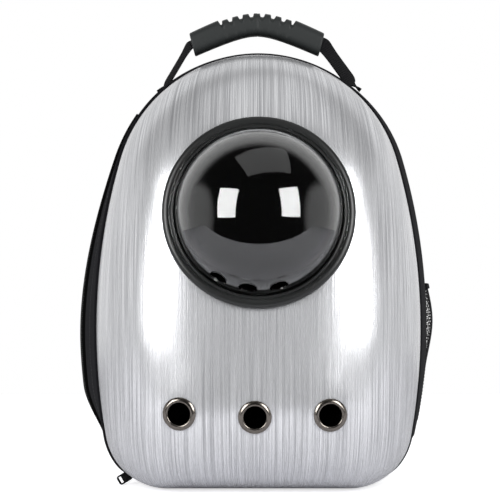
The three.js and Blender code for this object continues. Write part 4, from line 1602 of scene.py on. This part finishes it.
@dataclass
class SidePocket:
    """Net pocket on the right side and the binding round its mouth."""

    start: float = 7.35
    end: float = 11.3
    front: float = 60.0
    rear: float = 134.0
    wall: float = 1.2
    bulge: float = 9.6
    bulge_z: float = 160.0
    bulge_spread: float = 42.0
    mouth: float = 3.2
    strand: float = 2.0
    stretch: float = 1.7
    binding_thick: float = 1.0
    binding_drop: float = 0.14
    seam_inset: float = 1.5
    steps: int = 60

    def lift(self, station: Array, behind: Array) -> Array:
        """How far the net stands off the soft wall."""
        across = np.sin(np.pi * np.clip((behind - self.front) / (self.rear - self.front), 0.0, 1.0)) ** 0.7
        z = WALL.place(station, behind, 0.0)[..., 2]
        belly = self.bulge * np.exp(-(((z - self.bulge_z) / self.bulge_spread) ** 2))
        mouth_z = WALL.place(np.full_like(np.asarray(station, float), self.end), behind, 0.0)[..., 2]
        t = np.clip((z - self.bulge_z) / (mouth_z - self.bulge_z), 0.0, 1.0)
        mouth = self.mouth * t * t * (3 - 2 * t)
        return 2 * GAP + across * np.maximum(belly, mouth)

    def surface(self, run: Array, behind: Array, extra: float) -> Array:
        """Points over the net by share of its run up the side and distance behind the seam."""
        station = self.start + (self.end - self.start) * np.asarray(run, float)
        behind = np.asarray(behind, float)
        return WALL.place(station, behind, self.lift(station, behind) + extra)

    def lattice(self) -> tuple[Array, list[tuple[int, int]]]:
        """Six-sided mesh of the net, laid over the pocket.

        Returns:
            Points in millimetres and the pairs that a strand joins.
        """
        tall = OUTLINE.length(self.start, self.end)
        wide = self.rear - self.front
        step_up, step_over = 1.5 * self.strand, math.sqrt(3) / 2 * self.strand * self.stretch
        rows, columns = int(tall / step_up), int(wide / step_over)
        up, over = np.meshgrid(np.arange(rows + 1), np.arange(columns + 1), indexing="ij")
        zig = np.where((up + over) % 2 == 0, 0.25, -0.25) * self.strand
        run = np.clip(up * step_up + zig, 0.0, tall) / tall
        points = self.surface(run, self.front + over * step_over, self.wall / 2)
        number = up * (columns + 1) + over
        edges = [(int(a), int(b)) for a, b in zip(number[:, :-1].ravel(), number[:, 1:].ravel())]
        joined = ((up + over) % 2 == 0)[:-1]
        edges += [(int(a), int(b)) for a, b in zip(number[:-1][joined], number[1:][joined])]
        edges += [(int(a), int(b)) for side in (0, -1) for a, b in zip(number[:-1, side], number[1:, side])]
        return points.reshape(-1, 3), sorted(set(edges))

    def build(self, bench: Bench) -> None:
        """Knit the net, bind its mouth and sew its edges down."""
        points, edges = self.lattice()
        net = KnittedNet().knit("side_pocket_net", points, edges, NET_YARN)
        bench.add(net, Slot.NET, "side_pocket")
        self.bind(bench)
        run = np.linspace(0.02, 0.98, self.steps)
        station = self.start + (self.end - self.start) * run
        seams = []
        for behind in (self.front + self.seam_inset, self.rear - self.seam_inset):
            line = self.surface(run, np.full(self.steps, behind), self.wall)
            seams.append((line, WALL.outward(station, behind)))
        bench.add(SEAM_STITCH.sew("side_pocket_stitches", seams, THREAD), Slot.NET)

    def bind(self, bench: Bench) -> None:
        """Fold a binding over the pocket's mouth."""
        behind = np.linspace(self.front, self.rear, self.steps)
        drop = self.binding_drop / (self.end - self.start)
        low = self.wall + 2 * GAP
        high = low + self.binding_thick
        corners = [(1 - drop, low), (1.0, low), (1.0, high), (1 - drop, high)]
        scale = np.array([OUTLINE.length(self.start, self.end), 1.0])
        section = rounded([tuple(c) for c in np.array(corners) * scale], 0.5, 3)
        rows = [self.surface(np.full(self.steps, u / scale[0]), behind, v) for u, v in section]
        points = np.stack(rows, 1)
        weave = strip_weave(points[:, 0], points[0])
        band = tube("pocket_binding_band", points, Closing.CAPPED, TAPE_CLOTH, weave=weave)
        bench.add(band, Slot.WEBBING, "pocket_binding")


@dataclass
class CarryHandle:
    """Moulded ribbed grip on a strip of webbing."""

    line_x: float = -1.5
    line_z: float = 453.0
    drop: float = 12.1
    bend: float = 26.0
    under: float = 12.0
    valley: float = 6.6
    seam_x: float = 1.0
    seam_depth: float = 0.35
    rib_top: float = 10.1
    shoulder_top: float = 11.7
    end_top: float = 10.5
    end_lean: float = 0.14
    half_length: float = 63.8
    half_depth: float = 15.5
    behind: float = 27.0
    rib_count: int = 7
    rib_pitch: float = 9.5
    rib_half: float = 2.3
    rib_edge: float = 1.3
    shoulder: float = 34.5
    webbing_half: float = 12.5
    webbing_thick: float = 1.8
    tails: tuple[float, float, float] = (18.3, 18.5, 18.7)
    foot_lift: float = 2.4
    twist_left: float = 15.0
    twist_right: float = 31.0
    twist_end: float = 7.0
    mouth_deep: float = 14.0
    mouth_half: float = 7.6
    mouth_ease: float = 0.6
    clearance: float = 0.4
    squareness: float = 3.4
    edge_round: float = 1.2
    row_step: float = 0.55
    seam_half: float = 0.8
    lean_run: float = 6.0
    tip_reach: float = 1.6
    leave: float = 4.0
    arrive: float = 2.0

    @property
    def y(self) -> float:
        """The grip's middle across the depth."""
        return OUTLINE.seam_y + self.behind

    def place(self, x: Array, offset: Array, y: Array) -> Array:
        """Points along the grip's bent line and above it."""
        stretch = np.hypot(1.0, x / self.bend)
        tilt = np.arctan(self.drop * x / (self.bend**2 * stretch))
        z = self.line_z - self.drop * (stretch - 1) + offset * np.cos(tilt)
        return np.stack(np.broadcast_arrays(self.line_x + x + offset * np.sin(tilt), y, z), -1)

    def top(self, x: Array) -> Array:
        """Height of the grip's top over its line: ribs between plain shoulders."""
        away = np.abs(x)
        top = np.full_like(away, self.valley)
        for rib in range(self.rib_count // 2 + 1):
            edge = np.abs(away - rib * self.rib_pitch) - self.rib_half
            rise = (self.rib_top - self.valley) * (1 - smooth(edge, 0.0, self.rib_edge))
            top = np.maximum(top, self.valley + rise)
        slope = (away - self.shoulder) / (self.half_length - self.shoulder)
        plain = self.shoulder_top + (self.end_top - self.shoulder_top) * slope
        rise = smooth(away, self.shoulder - self.rib_edge, self.shoulder)
        return np.where(away > self.shoulder - self.rib_edge, self.valley + (plain - self.valley) * rise, top)

    def build(self, bench: Bench) -> None:
        """Mould the grip and run the webbing through it."""
        self.mould(bench)
        self.run_webbing(bench)

    def section(self, x: float, top: float, shrink: float, count: int = 56) -> Array:
        """One rounded section of the grip at a place along its line."""
        turn = full_turn(count)
        power = 2 / self.squareness
        wide = np.sign(np.cos(turn)) * np.abs(np.cos(turn)) ** power * (self.half_depth - shrink)
        tall = np.sign(np.sin(turn)) * np.abs(np.sin(turn)) ** power * ((top + self.under) / 2 - shrink)
        offset = (top - self.under) / 2 + tall
        lean = self.end_lean * np.sign(x) * smooth(abs(x), self.half_length - self.lean_run, self.half_length)
        return self.place(x - lean * offset, offset, self.y + wide)

    def mould(self, bench: Bench) -> None:
        """Skin the grip and cut the webbing's passage through it."""
        plain = self.half_length - self.edge_round
        inside = np.arange(-plain, plain + 0.01, self.row_step)
        ends = np.array([0.0, 0.15, 0.45, 0.8])
        x = np.concatenate([-self.half_length + ends, inside, self.half_length - ends[::-1]])
        shrink = np.maximum(0.0, self.edge_round - (self.half_length - np.abs(x)))
        shrink = self.edge_round - np.sqrt(np.maximum(0.0, self.edge_round**2 - shrink**2))
        shrink += self.seam_depth * (1 - smooth(np.abs(x - self.seam_x), 0.0, self.seam_half))
        tops = self.top(x)
        rows = np.stack([self.section(*row) for row in zip(x, tops, shrink)])
        grip = tube("handle_grip_moulding", rows, Closing.CAPPED, GRIP_RUBBER, sharp=50.0)
        reach = np.linspace(-self.half_length - 3, self.half_length + 3, 60)
        slot = flat_section(self.webbing_half + self.clearance, self.webbing_thick / 2 + self.clearance)
        passage = np.stack([self.place(reach, v, self.y + u) for u, v in slot], 1)
        through = tube("passage", passage, Closing.CAPPED)
        cut(grip, [through, *(self.mouth(side) for side in Side)])
        shade(grip.data, 50.0)
        bench.add(grip, Slot.GRIP, "handle_grip")

    def mouth(self, side: Side) -> Object:
        """Cutter for the flared mouth that the webbing leaves by at one end of the grip."""
        depth = np.linspace(-4.0, self.mouth_deep + 1.0, 12)
        open_by = 1 - smooth(depth, 0.0, self.mouth_deep + 1.0)
        turn = full_turn(40)
        tall = (self.webbing_thick + (self.mouth_half - self.webbing_thick) * open_by)[:, None] * np.sin(turn)
        wide = (self.webbing_half + self.mouth_ease) * np.cos(turn)[None, :] * np.ones_like(tall)
        along = (self.half_length - depth)[:, None] * side.value * np.ones_like(tall)
        return tube("mouth", self.place(along, tall, self.y + wide), Closing.CAPPED)

    def span(self, side: Side) -> tuple[Array, Array]:
        """The webbing from its foot on the body up to the grip's end.

        Args:
            side: which end of the handle.

        Returns:
            Points across and up in millimetres, and the twist at each in degrees.
        """
        station = np.array(self.tails)
        station = station if side is Side.RIGHT else STATIONS - station
        foot = WALL.place(station, np.full(3, self.behind), self.foot_lift)[:, [0, 2]]
        lead = (foot[2] - foot[1]) / np.linalg.norm(foot[2] - foot[1])
        tip = np.array([self.half_length + self.tip_reach, self.half_length]) * side.value
        end, inner = self.place(tip, np.zeros(2), np.zeros(2))[:, [0, 2]]
        arrive = (inner - end) / np.linalg.norm(inner - end)
        ends = np.stack([foot[2], foot[2] + lead * self.leave, end - arrive * self.arrive, end])
        t = np.linspace(0.0, 1.0, 37)[1:]
        tail = np.linspace(0.0, 1.0, 8)[:, None]
        path = np.vstack([foot[0] + (foot[2] - foot[0]) * tail, bezier(ends, t)])
        along = np.concatenate([np.linspace(-0.2, 0.0, 8), t])
        most = self.twist_right if side is Side.RIGHT else self.twist_left
        return path, most * smooth(along, -0.2, 0.25) + self.twist_end * smooth(along, 0.6, 1.0)

    def run_webbing(self, bench: Bench) -> None:
        """Sweep the webbing from foot to foot."""
        left, left_twist = self.span(Side.LEFT)
        right, right_twist = self.span(Side.RIGHT)
        reach = self.half_length + self.tip_reach
        inside = np.linspace(-reach, reach, 90)[1:-1]
        over = self.place(inside, np.zeros(88), np.zeros(88))[:, [0, 2]]
        path = np.vstack([left, over, right[::-1]])
        held = np.where(inside < 0, left_twist[-1], right_twist[-1])
        held = held * (1 - smooth(reach - np.abs(inside), 2.0, self.mouth_deep))
        twist = np.radians(np.concatenate([left_twist, held, right_twist[::-1]]))
        along = unit(np.gradient(path, axis=0))
        out = np.stack([-along[:, 1], np.zeros(len(path)), along[:, 0]], -1)
        depth = np.array([0.0, 1.0, 0.0])
        wide = depth * np.cos(twist)[:, None] + out * np.sin(twist)[:, None]
        thick = out * np.cos(twist)[:, None] - depth * np.sin(twist)[:, None]
        section = rounded(flat_section(self.webbing_half, self.webbing_thick / 2), 0.8, 3)
        centre = np.stack([path[:, 0], np.full(len(path), self.y), path[:, 1]], -1)
        strip = swept("handle_webbing_strip", centre, (wide, thick), section, STRAP_WEBBING)
        bench.add(strip, Slot.WEBBING, "handle_webbing")


class Knot(NamedTuple):
    """One point that a strap's middle line runs through, for the right side."""

    x: float
    out: float
    z: float


class SewnEdge(NamedTuple):
    """Half a strap's thickness at a distance in from its edge."""

    inset: float
    half: float
    part: Part


SEWN_EDGE = (
    SewnEdge(0.0, 0.0, Part.BINDING),
    SewnEdge(0.35, 1.05, Part.BINDING),
    SewnEdge(1.2, 1.75, Part.BINDING),
    SewnEdge(2.6, 2.1, Part.BINDING),
    SewnEdge(4.6, 2.1, Part.BINDING),
    SewnEdge(5.8, 1.85, Part.SEAM),
    SewnEdge(6.6, 1.8, Part.SEAM),
    SewnEdge(7.6, 2.2, Part.FACE),
    SewnEdge(9.4, 2.9, Part.FACE),
    SewnEdge(12.0, 3.5, Part.FACE),
    SewnEdge(15.5, 3.8, Part.FACE),
)


@dataclass
class ShoulderStraps:
    """Padded straps on the back, their buckles and lower webbing."""

    knots: tuple[Knot, ...] = (
        Knot(44, 5, 366),
        Knot(52, 21, 330),
        Knot(60, 38, 280),
        Knot(65, 44, 225),
        Knot(71, 40, 172),
        Knot(80, 30, 128),
    )
    face_y: float = 94.8
    half: float = 29.0
    taper: float = 0.35
    flat_top: float = 26.0
    flat_end: float = 15.0
    rise: float = 20.0
    settle_top: float = 3.2
    steps: int = 64
    filling: Filling = Filling(pressure=30.0, cap=1.1)
    buckle_rail: float = 3.5
    buckle_height: float = 26.0
    buckle_half_thick: float = 2.25
    rail_ease: float = 0.5
    loop_half: float = 11.5
    loop_thick: float = 1.3
    loop_leg: float = 11.0
    tail_half: float = 12.5
    tail_thick: float = 1.6
    tail_free: float = 20.0
    foot: Knot = Knot(90, 0, 34)
    foot_length: float = 22.0
    tip_shares: tuple[float, ...] = (0.996, 0.998, 1.0)
    taper_from: float = 0.7
    flat_from: float = 4.0
    pinched_half: float = 1.9
    filled_from: float = 0.2
    stitch_lift: float = 0.15
    stitch_inset: float = 0.4
    buckle_ease: float = 0.7
    tail_past: float = 8.0
    tail_sag: float = 1.8
    tail_sag_run: float = 10.0
    tail_leave: float = 18.0
    tail_arrive: float = 14.0
    tail_skip: float = 16.0
    box_side: float = 3.0
    box_top: float = 5.0
    box_low: float = 2.5

    def curve(self, t: Array, sign: float) -> Array:
        """Middle line of a strap.

        Args:
            t: shares of the way through the knots.
            sign: -1 for the left side, 1 for the right.

        Returns:
            Points in millimetres.
        """
        knots = np.array([(sign * k.x, self.face_y + k.out, k.z) for k in self.knots], float)
        knots = np.vstack([2 * knots[0] - knots[1], knots, 2 * knots[-1] - knots[-2]])
        place = np.clip(np.asarray(t, float), 0.0, 1.0) * (len(self.knots) - 1)
        first = np.minimum(place.astype(int), len(self.knots) - 2)
        share = (place - first)[:, None]
        a, b, c, d = (knots[first + i] for i in range(4))
        pairs = ((a, b), (b, c), (c, d))
        ab, bc, cd = (np.sqrt(np.linalg.norm(q - p, axis=1, keepdims=True)) for p, q in pairs)
        leave = ((b - a) / ab - (c - a) / (ab + bc) + (c - b) / bc) * bc
        reach = ((c - b) / bc - (d - b) / (bc + cd) + (d - c) / cd) * bc
        bend = -3 * b + 3 * c - 2 * leave - reach
        return b + leave * share + bend * share**2 + (2 * b - 2 * c + leave + reach) * share**3

    @staticmethod
    def axes(path: Array) -> tuple[Array, Array, Array]:
        """Directions along a path, out from the back and across."""
        along = unit(np.gradient(path, axis=0))
        out = unit(np.array([0.0, 1.0, 0.0]) - along * along[:, 1:2])
        return along, out, np.cross(out, along)

    def tip(self, sign: float) -> tuple[Array, ...]:
        """Where a strap's middle line ends, and the directions there along it, out and across."""
        end = self.curve(np.array(self.tip_shares), sign)
        return end[-1], *(axis[-1] for axis in self.axes(end))

    def build(self, bench: Bench) -> None:
        """Build both straps with their buckles and webbing."""
        for side in Side:
            self.sew_pad(bench, side)
            solid = f"strap_buckle_{side.word}"
            buckle = eased_copy(solid, f"ladder_buckle_{side.word}", self.buckle_ease, TRIM_PLASTIC)
            bench.add(buckle, Slot.PLASTIC, solid)
            self.loop_over(bench, side)
            self.hang_tail(bench, side)

    def sew_pad(self, bench: Bench, side: Side) -> None:
        """Sew one strap's cover, fill it and stitch along its binding."""
        sign = float(side.value)
        path = self.curve(np.linspace(0.0, 1.0, self.steps), sign)
        run = run_lengths(path)
        left_over = run[-1] - run
        path[:, 1] -= self.settle_top * (1 - smooth(run, 0.0, self.flat_top))
        _, out, wide = self.axes(path)
        half = self.half * (1 - self.taper * smooth(run / run[-1], self.taper_from, 1.0))
        full = smooth(run, self.flat_from, self.flat_top)
        full = full * smooth(left_over, self.flat_end, self.flat_end + self.rise)
        inset = np.array([edge.inset for edge in SEWN_EDGE])
        thick = np.array([edge.half for edge in SEWN_EDGE])
        pinched = np.minimum(thick, self.pinched_half)
        level = pinched + (thick - pinched) * full[:, None]
        inward, back = slice(0, None), slice(None, 0, -1)
        sides = [(-1, 1, inward), (1, 1, back), (1, -1, inward), (-1, -1, back)]
        across = np.hstack([hand * (half[:, None] - inset)[:, part] for hand, _, part in sides])
        height = np.hstack([face * level[:, part] for _, face, part in sides])
        points = path[:, None] + wide[:, None] * across[..., None] + out[:, None] * height[..., None]
        parts = [edge.part for _, _, part in sides for edge in SEWN_EDGE[part]]
        mesh = tube_mesh(f"strap_pad_{side.word}", points, Closing.CAPPED, strip_weave(path, points[0]))
        bound = [0 if part is Part.FACE else 1 for part in parts]
        mesh.polygons.foreach_set("material_index", bound * (self.steps - 1) + [1, 1])
        settle(mesh, 60.0)
        pad = new_object(f"strap_pad_{side.word}", mesh, PAD_FABRIC, BINDING_CLOTH)
        free = np.outer(full > self.filled_from, [part is Part.FACE for part in parts]).ravel()
        self.filling.fill(pad, free)
        bench.add(pad, Slot.PAD, f"shoulder_strap_{side.word}")
        seam = next(edge for edge in SEWN_EDGE if edge.part is Part.SEAM)
        reach = (half - seam.inset - self.stitch_inset)[:, None]
        lines = []
        for hand in (-1, 1):
            for face in (-1, 1):
                lift = out * (face * (seam.half + self.stitch_lift))
                lines.append((path + wide * (hand * reach) + lift, face * out))
        bench.add(SEAM_STITCH.sew(f"strap_stitches_{side.word}", lines, THREAD), Slot.PAD)

    def buckle_points(self, sign: float, places: Array) -> Array:
        """Points by distance along a buckle from its top and height over its middle."""
        end, along, out, _ = self.tip(sign)
        return end + along * (places[:, :1] + 2 * GAP) + out * places[:, 1:]

    @staticmethod
    def half_turn(middle: float, radius: float, way: float, steps: int = 24) -> Array:
        """Half a circle round a buckle's rail, from its outer side to its inner one.

        Args:
            middle: the circle's middle, as distance along the buckle.
            radius: its radius.
            way: 1 to turn at the far side of the rail, -1 at the near side.
            steps: how many points it has.

        Returns:
            Distances along the buckle and heights over its middle.
        """
        angle = np.linspace(math.pi / 2, -math.pi / 2, steps)
        return np.stack([middle + way * radius * np.cos(angle), radius * np.sin(angle)], -1)

    @staticmethod
    def strip(name: str, path: Array, wide: Array, half: float, thick: float) -> Object:
        """A strip of webbing along a path.

        Args:
            name: its name.
            path: its middle line, in millimetres.
            wide: the direction of its width at each point.
            half: half its width.
            thick: its thickness.

        Returns:
            The strip.
        """
        over = unit(np.cross(wide, np.gradient(path, axis=0)))
        section = rounded(flat_section(half, thick / 2), 0.6, 3)
        return swept(name, path, (wide, over), section, TAIL_WEBBING)

    def loop_over(self, bench: Bench, side: Side) -> None:
        """Sew a loop of webbing to a strap's end, round the top rail of its buckle."""
        sign = float(side.value)
        lift = self.buckle_half_thick + GAP + self.loop_thick / 2
        leg = np.linspace(-self.loop_leg, self.buckle_rail - self.rail_ease, 14)[:-1]
        turn = self.half_turn(self.buckle_rail - self.rail_ease, lift, 1.0)
        outer = np.stack([leg, np.full(len(leg), lift)], -1)
        inner = np.stack([leg[::-1], np.full(len(leg), -lift)], -1)
        path = self.buckle_points(sign, np.vstack([outer, turn, inner]))
        wide = np.tile(self.tip(sign)[-1], (len(path), 1))
        loop = self.strip(f"strap_loop_{side.word}", path, wide, self.loop_half, self.loop_thick)
        bench.add(loop, Slot.WEBBING)

    def hang_tail(self, bench: Bench, side: Side) -> None:
        """Run the lower webbing round a buckle's bottom rail and down to its foot on the panel."""
        sign = float(side.value)
        lift = self.buckle_half_thick + GAP + self.tail_thick / 2
        bottom = self.buckle_height
        middle = bottom - self.buckle_rail + self.rail_ease
        free = np.linspace(bottom + self.tail_free, middle, 20)[:-1]
        down = np.linspace(middle, bottom + self.tail_past, 12)[1:]
        sag = lift - self.tail_sag * smooth(down, bottom, bottom + self.tail_sag_run)
        free_end = np.stack([free, np.full(len(free), lift)], -1)
        turn = self.half_turn(middle, lift, -1.0)
        wrap = self.buckle_points(sign, np.vstack([free_end, turn, np.stack([down, -sag], -1)]))
        end, along, _, wide = self.tip(sign)
        start = end + along * (2 * GAP + bottom + GAP)
        foot = np.array([sign * self.foot.x, self.face_y + self.tail_thick / 2, self.foot.z])
        high = foot + np.array([0.0, 0.0, self.foot_length])
        lead = start + along * self.tail_leave
        arrive = high + np.array([0.0, 0.0, self.tail_arrive])
        span = bezier(np.stack([start, lead, arrive, high]), np.linspace(0.0, 1.0, 60))
        span = span[run_lengths(span) > self.tail_skip]
        path = np.vstack([wrap, span, high + (foot - high) * np.linspace(0.0, 1.0, 12)[1:, None]])
        _, _, across = self.axes(span)
        ease = smooth(run_lengths(path), run_lengths(wrap)[-1], run_lengths(path)[-1])[:, None]
        across = unit(wide * (1 - ease) + across[-1] * ease)
        tail = self.strip(f"strap_tail_{side.word}", path, across, self.tail_half, self.tail_thick)
        bench.add(tail, Slot.WEBBING, f"strap_webbing_{side.word}")
        self.box_stitch(bench, side, foot)

    def box_stitch(self, bench: Bench, side: Side, foot: Array) -> None:
        """Sew a crossed box through a tail's foot."""
        wide, low, tall = self.tail_half - self.box_side, self.box_low, self.foot_length - self.box_top
        corners = [(-wide, low), (wide, low), (wide, tall), (-wide, tall), (-wide, low), (wide, tall)]
        y = self.face_y + self.tail_thick + self.stitch_lift
        line = np.array([(foot[0] + x, y, foot[2] + z) for x, z in corners])
        marks = run_lengths(line)
        fine = np.linspace(0.0, marks[-1], 120)
        line = np.stack([np.interp(fine, marks, line[:, i]) for i in range(3)], -1)
        out = np.tile([0.0, 1.0, 0.0], (len(line), 1))
        bench.add(SEAM_STITCH.sew(f"strap_foot_stitches_{side.word}", [(line, out)], THREAD), Slot.WEBBING)


class Lamp(NamedTuple):
    """One area light: where it hangs, what it looks at, its size and its brightness."""

    name: str
    place: tuple[float, float, float]
    target: tuple[float, float, float]
    size: tuple[float, float]
    radiance: float


@dataclass
class Studio:
    """Plain white studio with two tall soft boxes, a soft light overhead and a pale table."""

    camera_place: tuple[float, float, float] = (-0.0082, -2.065, 0.2305)
    frame_width: float = 0.486
    frame_distance: float = 2.0
    lamps: tuple[Lamp, ...] = (
        Lamp("left_box", (-0.88, -1.19, 0.565), (0.0, -0.19, 0.265), (0.60, 0.84), 13.0),
        Lamp("right_box", (0.86, -1.19, 0.585), (0.0, -0.19, 0.265), (0.60, 0.84), 13.0),
        Lamp("overhead", (0.12, -0.54, 1.40), (0.0, -0.19, 0.265), (1.15, 0.85), 0.65),
    )
    backdrop: float = 1.0
    room: float = 0.8
    front: float = 0.03
    behind_from: tuple[float, float] = (0.05, 0.35)
    beside_from: tuple[float, float] = (0.82, 0.93)
    low_until: tuple[float, float] = (0.35, 0.6)
    table_front: float = -0.52
    table_half: float = 1.2
    table_back: float = 1.2

    def build(self) -> None:
        """Set up the camera, the room, the lamps and the table."""
        scene = bpy.context.scene
        scene.view_settings.view_transform = "Standard"
        self.set_camera(scene)
        self.light_room(scene)
        for lamp in self.lamps:
            self.hang(scene, lamp)
        self.lay_table()

    def set_camera(self, scene: Scene) -> None:
        """Stand the camera level before the window."""
        lens = bpy.data.cameras.new("camera")
        lens.sensor_width = 36.0
        lens.lens = lens.sensor_width * self.frame_distance / self.frame_width
        camera = bpy.data.objects.new("camera", lens)
        camera.location = self.camera_place
        camera.rotation_euler = (math.pi / 2, 0.0, 0.0)
        scene.collection.objects.link(camera)
        scene.camera = camera

    def light_room(self, scene: Scene) -> None:
        """Make the room white behind the table and at its sides, and dark in front."""
        world = bpy.data.worlds.new("studio")
        scene.world = world
        world.use_nodes = True
        wiring = Wiring(world.node_tree)
        ground = world.node_tree.nodes["Background"]
        way = wiring.add("ShaderNodeTexCoord").outputs["Generated"]
        parts = wiring.add("ShaderNodeSeparateXYZ", {0: way}).outputs
        behind = wiring.spread(parts[1], *self.behind_from, self.front, self.backdrop)
        beside = wiring.spread(wiring.calc("ABSOLUTE", parts[0]), *self.beside_from, 0.0, self.room)
        low = wiring.spread(parts[2], *self.low_until, 1.0, 0.0)
        glow = wiring.calc("MAXIMUM", behind, wiring.calc("MULTIPLY", beside, low))
        seen = wiring.add("ShaderNodeLightPath").outputs["Is Camera Ray"]
        strength = wiring.made("ShaderNodeMix", {0: seen, 2: glow, 3: self.backdrop})
        world.node_tree.links.new(strength, ground.inputs["Strength"])
        ground.inputs["Color"].default_value = (1.0, 1.0, 1.0, 1.0)

    def hang(self, scene: Scene, lamp: Lamp) -> None:
        """Hang one lamp so that it faces its target."""
        light = bpy.data.lights.new(lamp.name, "AREA")
        light.shape = "RECTANGLE"
        light.size, light.size_y = lamp.size
        light.energy = lamp.radiance * math.pi * lamp.size[0] * lamp.size[1]
        holder = bpy.data.objects.new(lamp.name, light)
        holder.location = lamp.place
        holder.rotation_euler = (Vector(lamp.target) - Vector(lamp.place)).to_track_quat("-Z", "Y").to_euler()
        holder.visible_camera = False
        scene.collection.objects.link(holder)

    def lay_table(self) -> None:
        """Lay the white table top under the carrier."""
        half, front, back = (edge / MM for edge in (self.table_half, self.table_front, self.table_back))
        corners = [(-half, front, 0.0), (half, front, 0.0), (half, back, 0.0), (-half, back, 0.0)]
        table = new_object("table_top", mesh_of("table_top", np.array(corners), [[0, 1, 2, 3]]), TABLE_WHITE)


def main() -> None:
    """Build the carrier piece by piece."""
    logging.basicConfig(level=logging.INFO, format="%(message)s")
    Studio().build()
    bench = Bench()
    eyelets = Eyelets()
    FrontShell().build(bench, eyelets)
    WindowRing().build(bench)
    WindowDome().build(bench)
    eyelets.build(bench)
    EdgePiping().build(bench)
    SoftBody().build(bench)
    SideZip().build(bench)
    SidePocket().build(bench)
    CarryHandle().build(bench)
    ShoulderStraps().build(bench)
    LOG.info("%d pieces", bench.count)


if __name__ == "__main__":
    main()
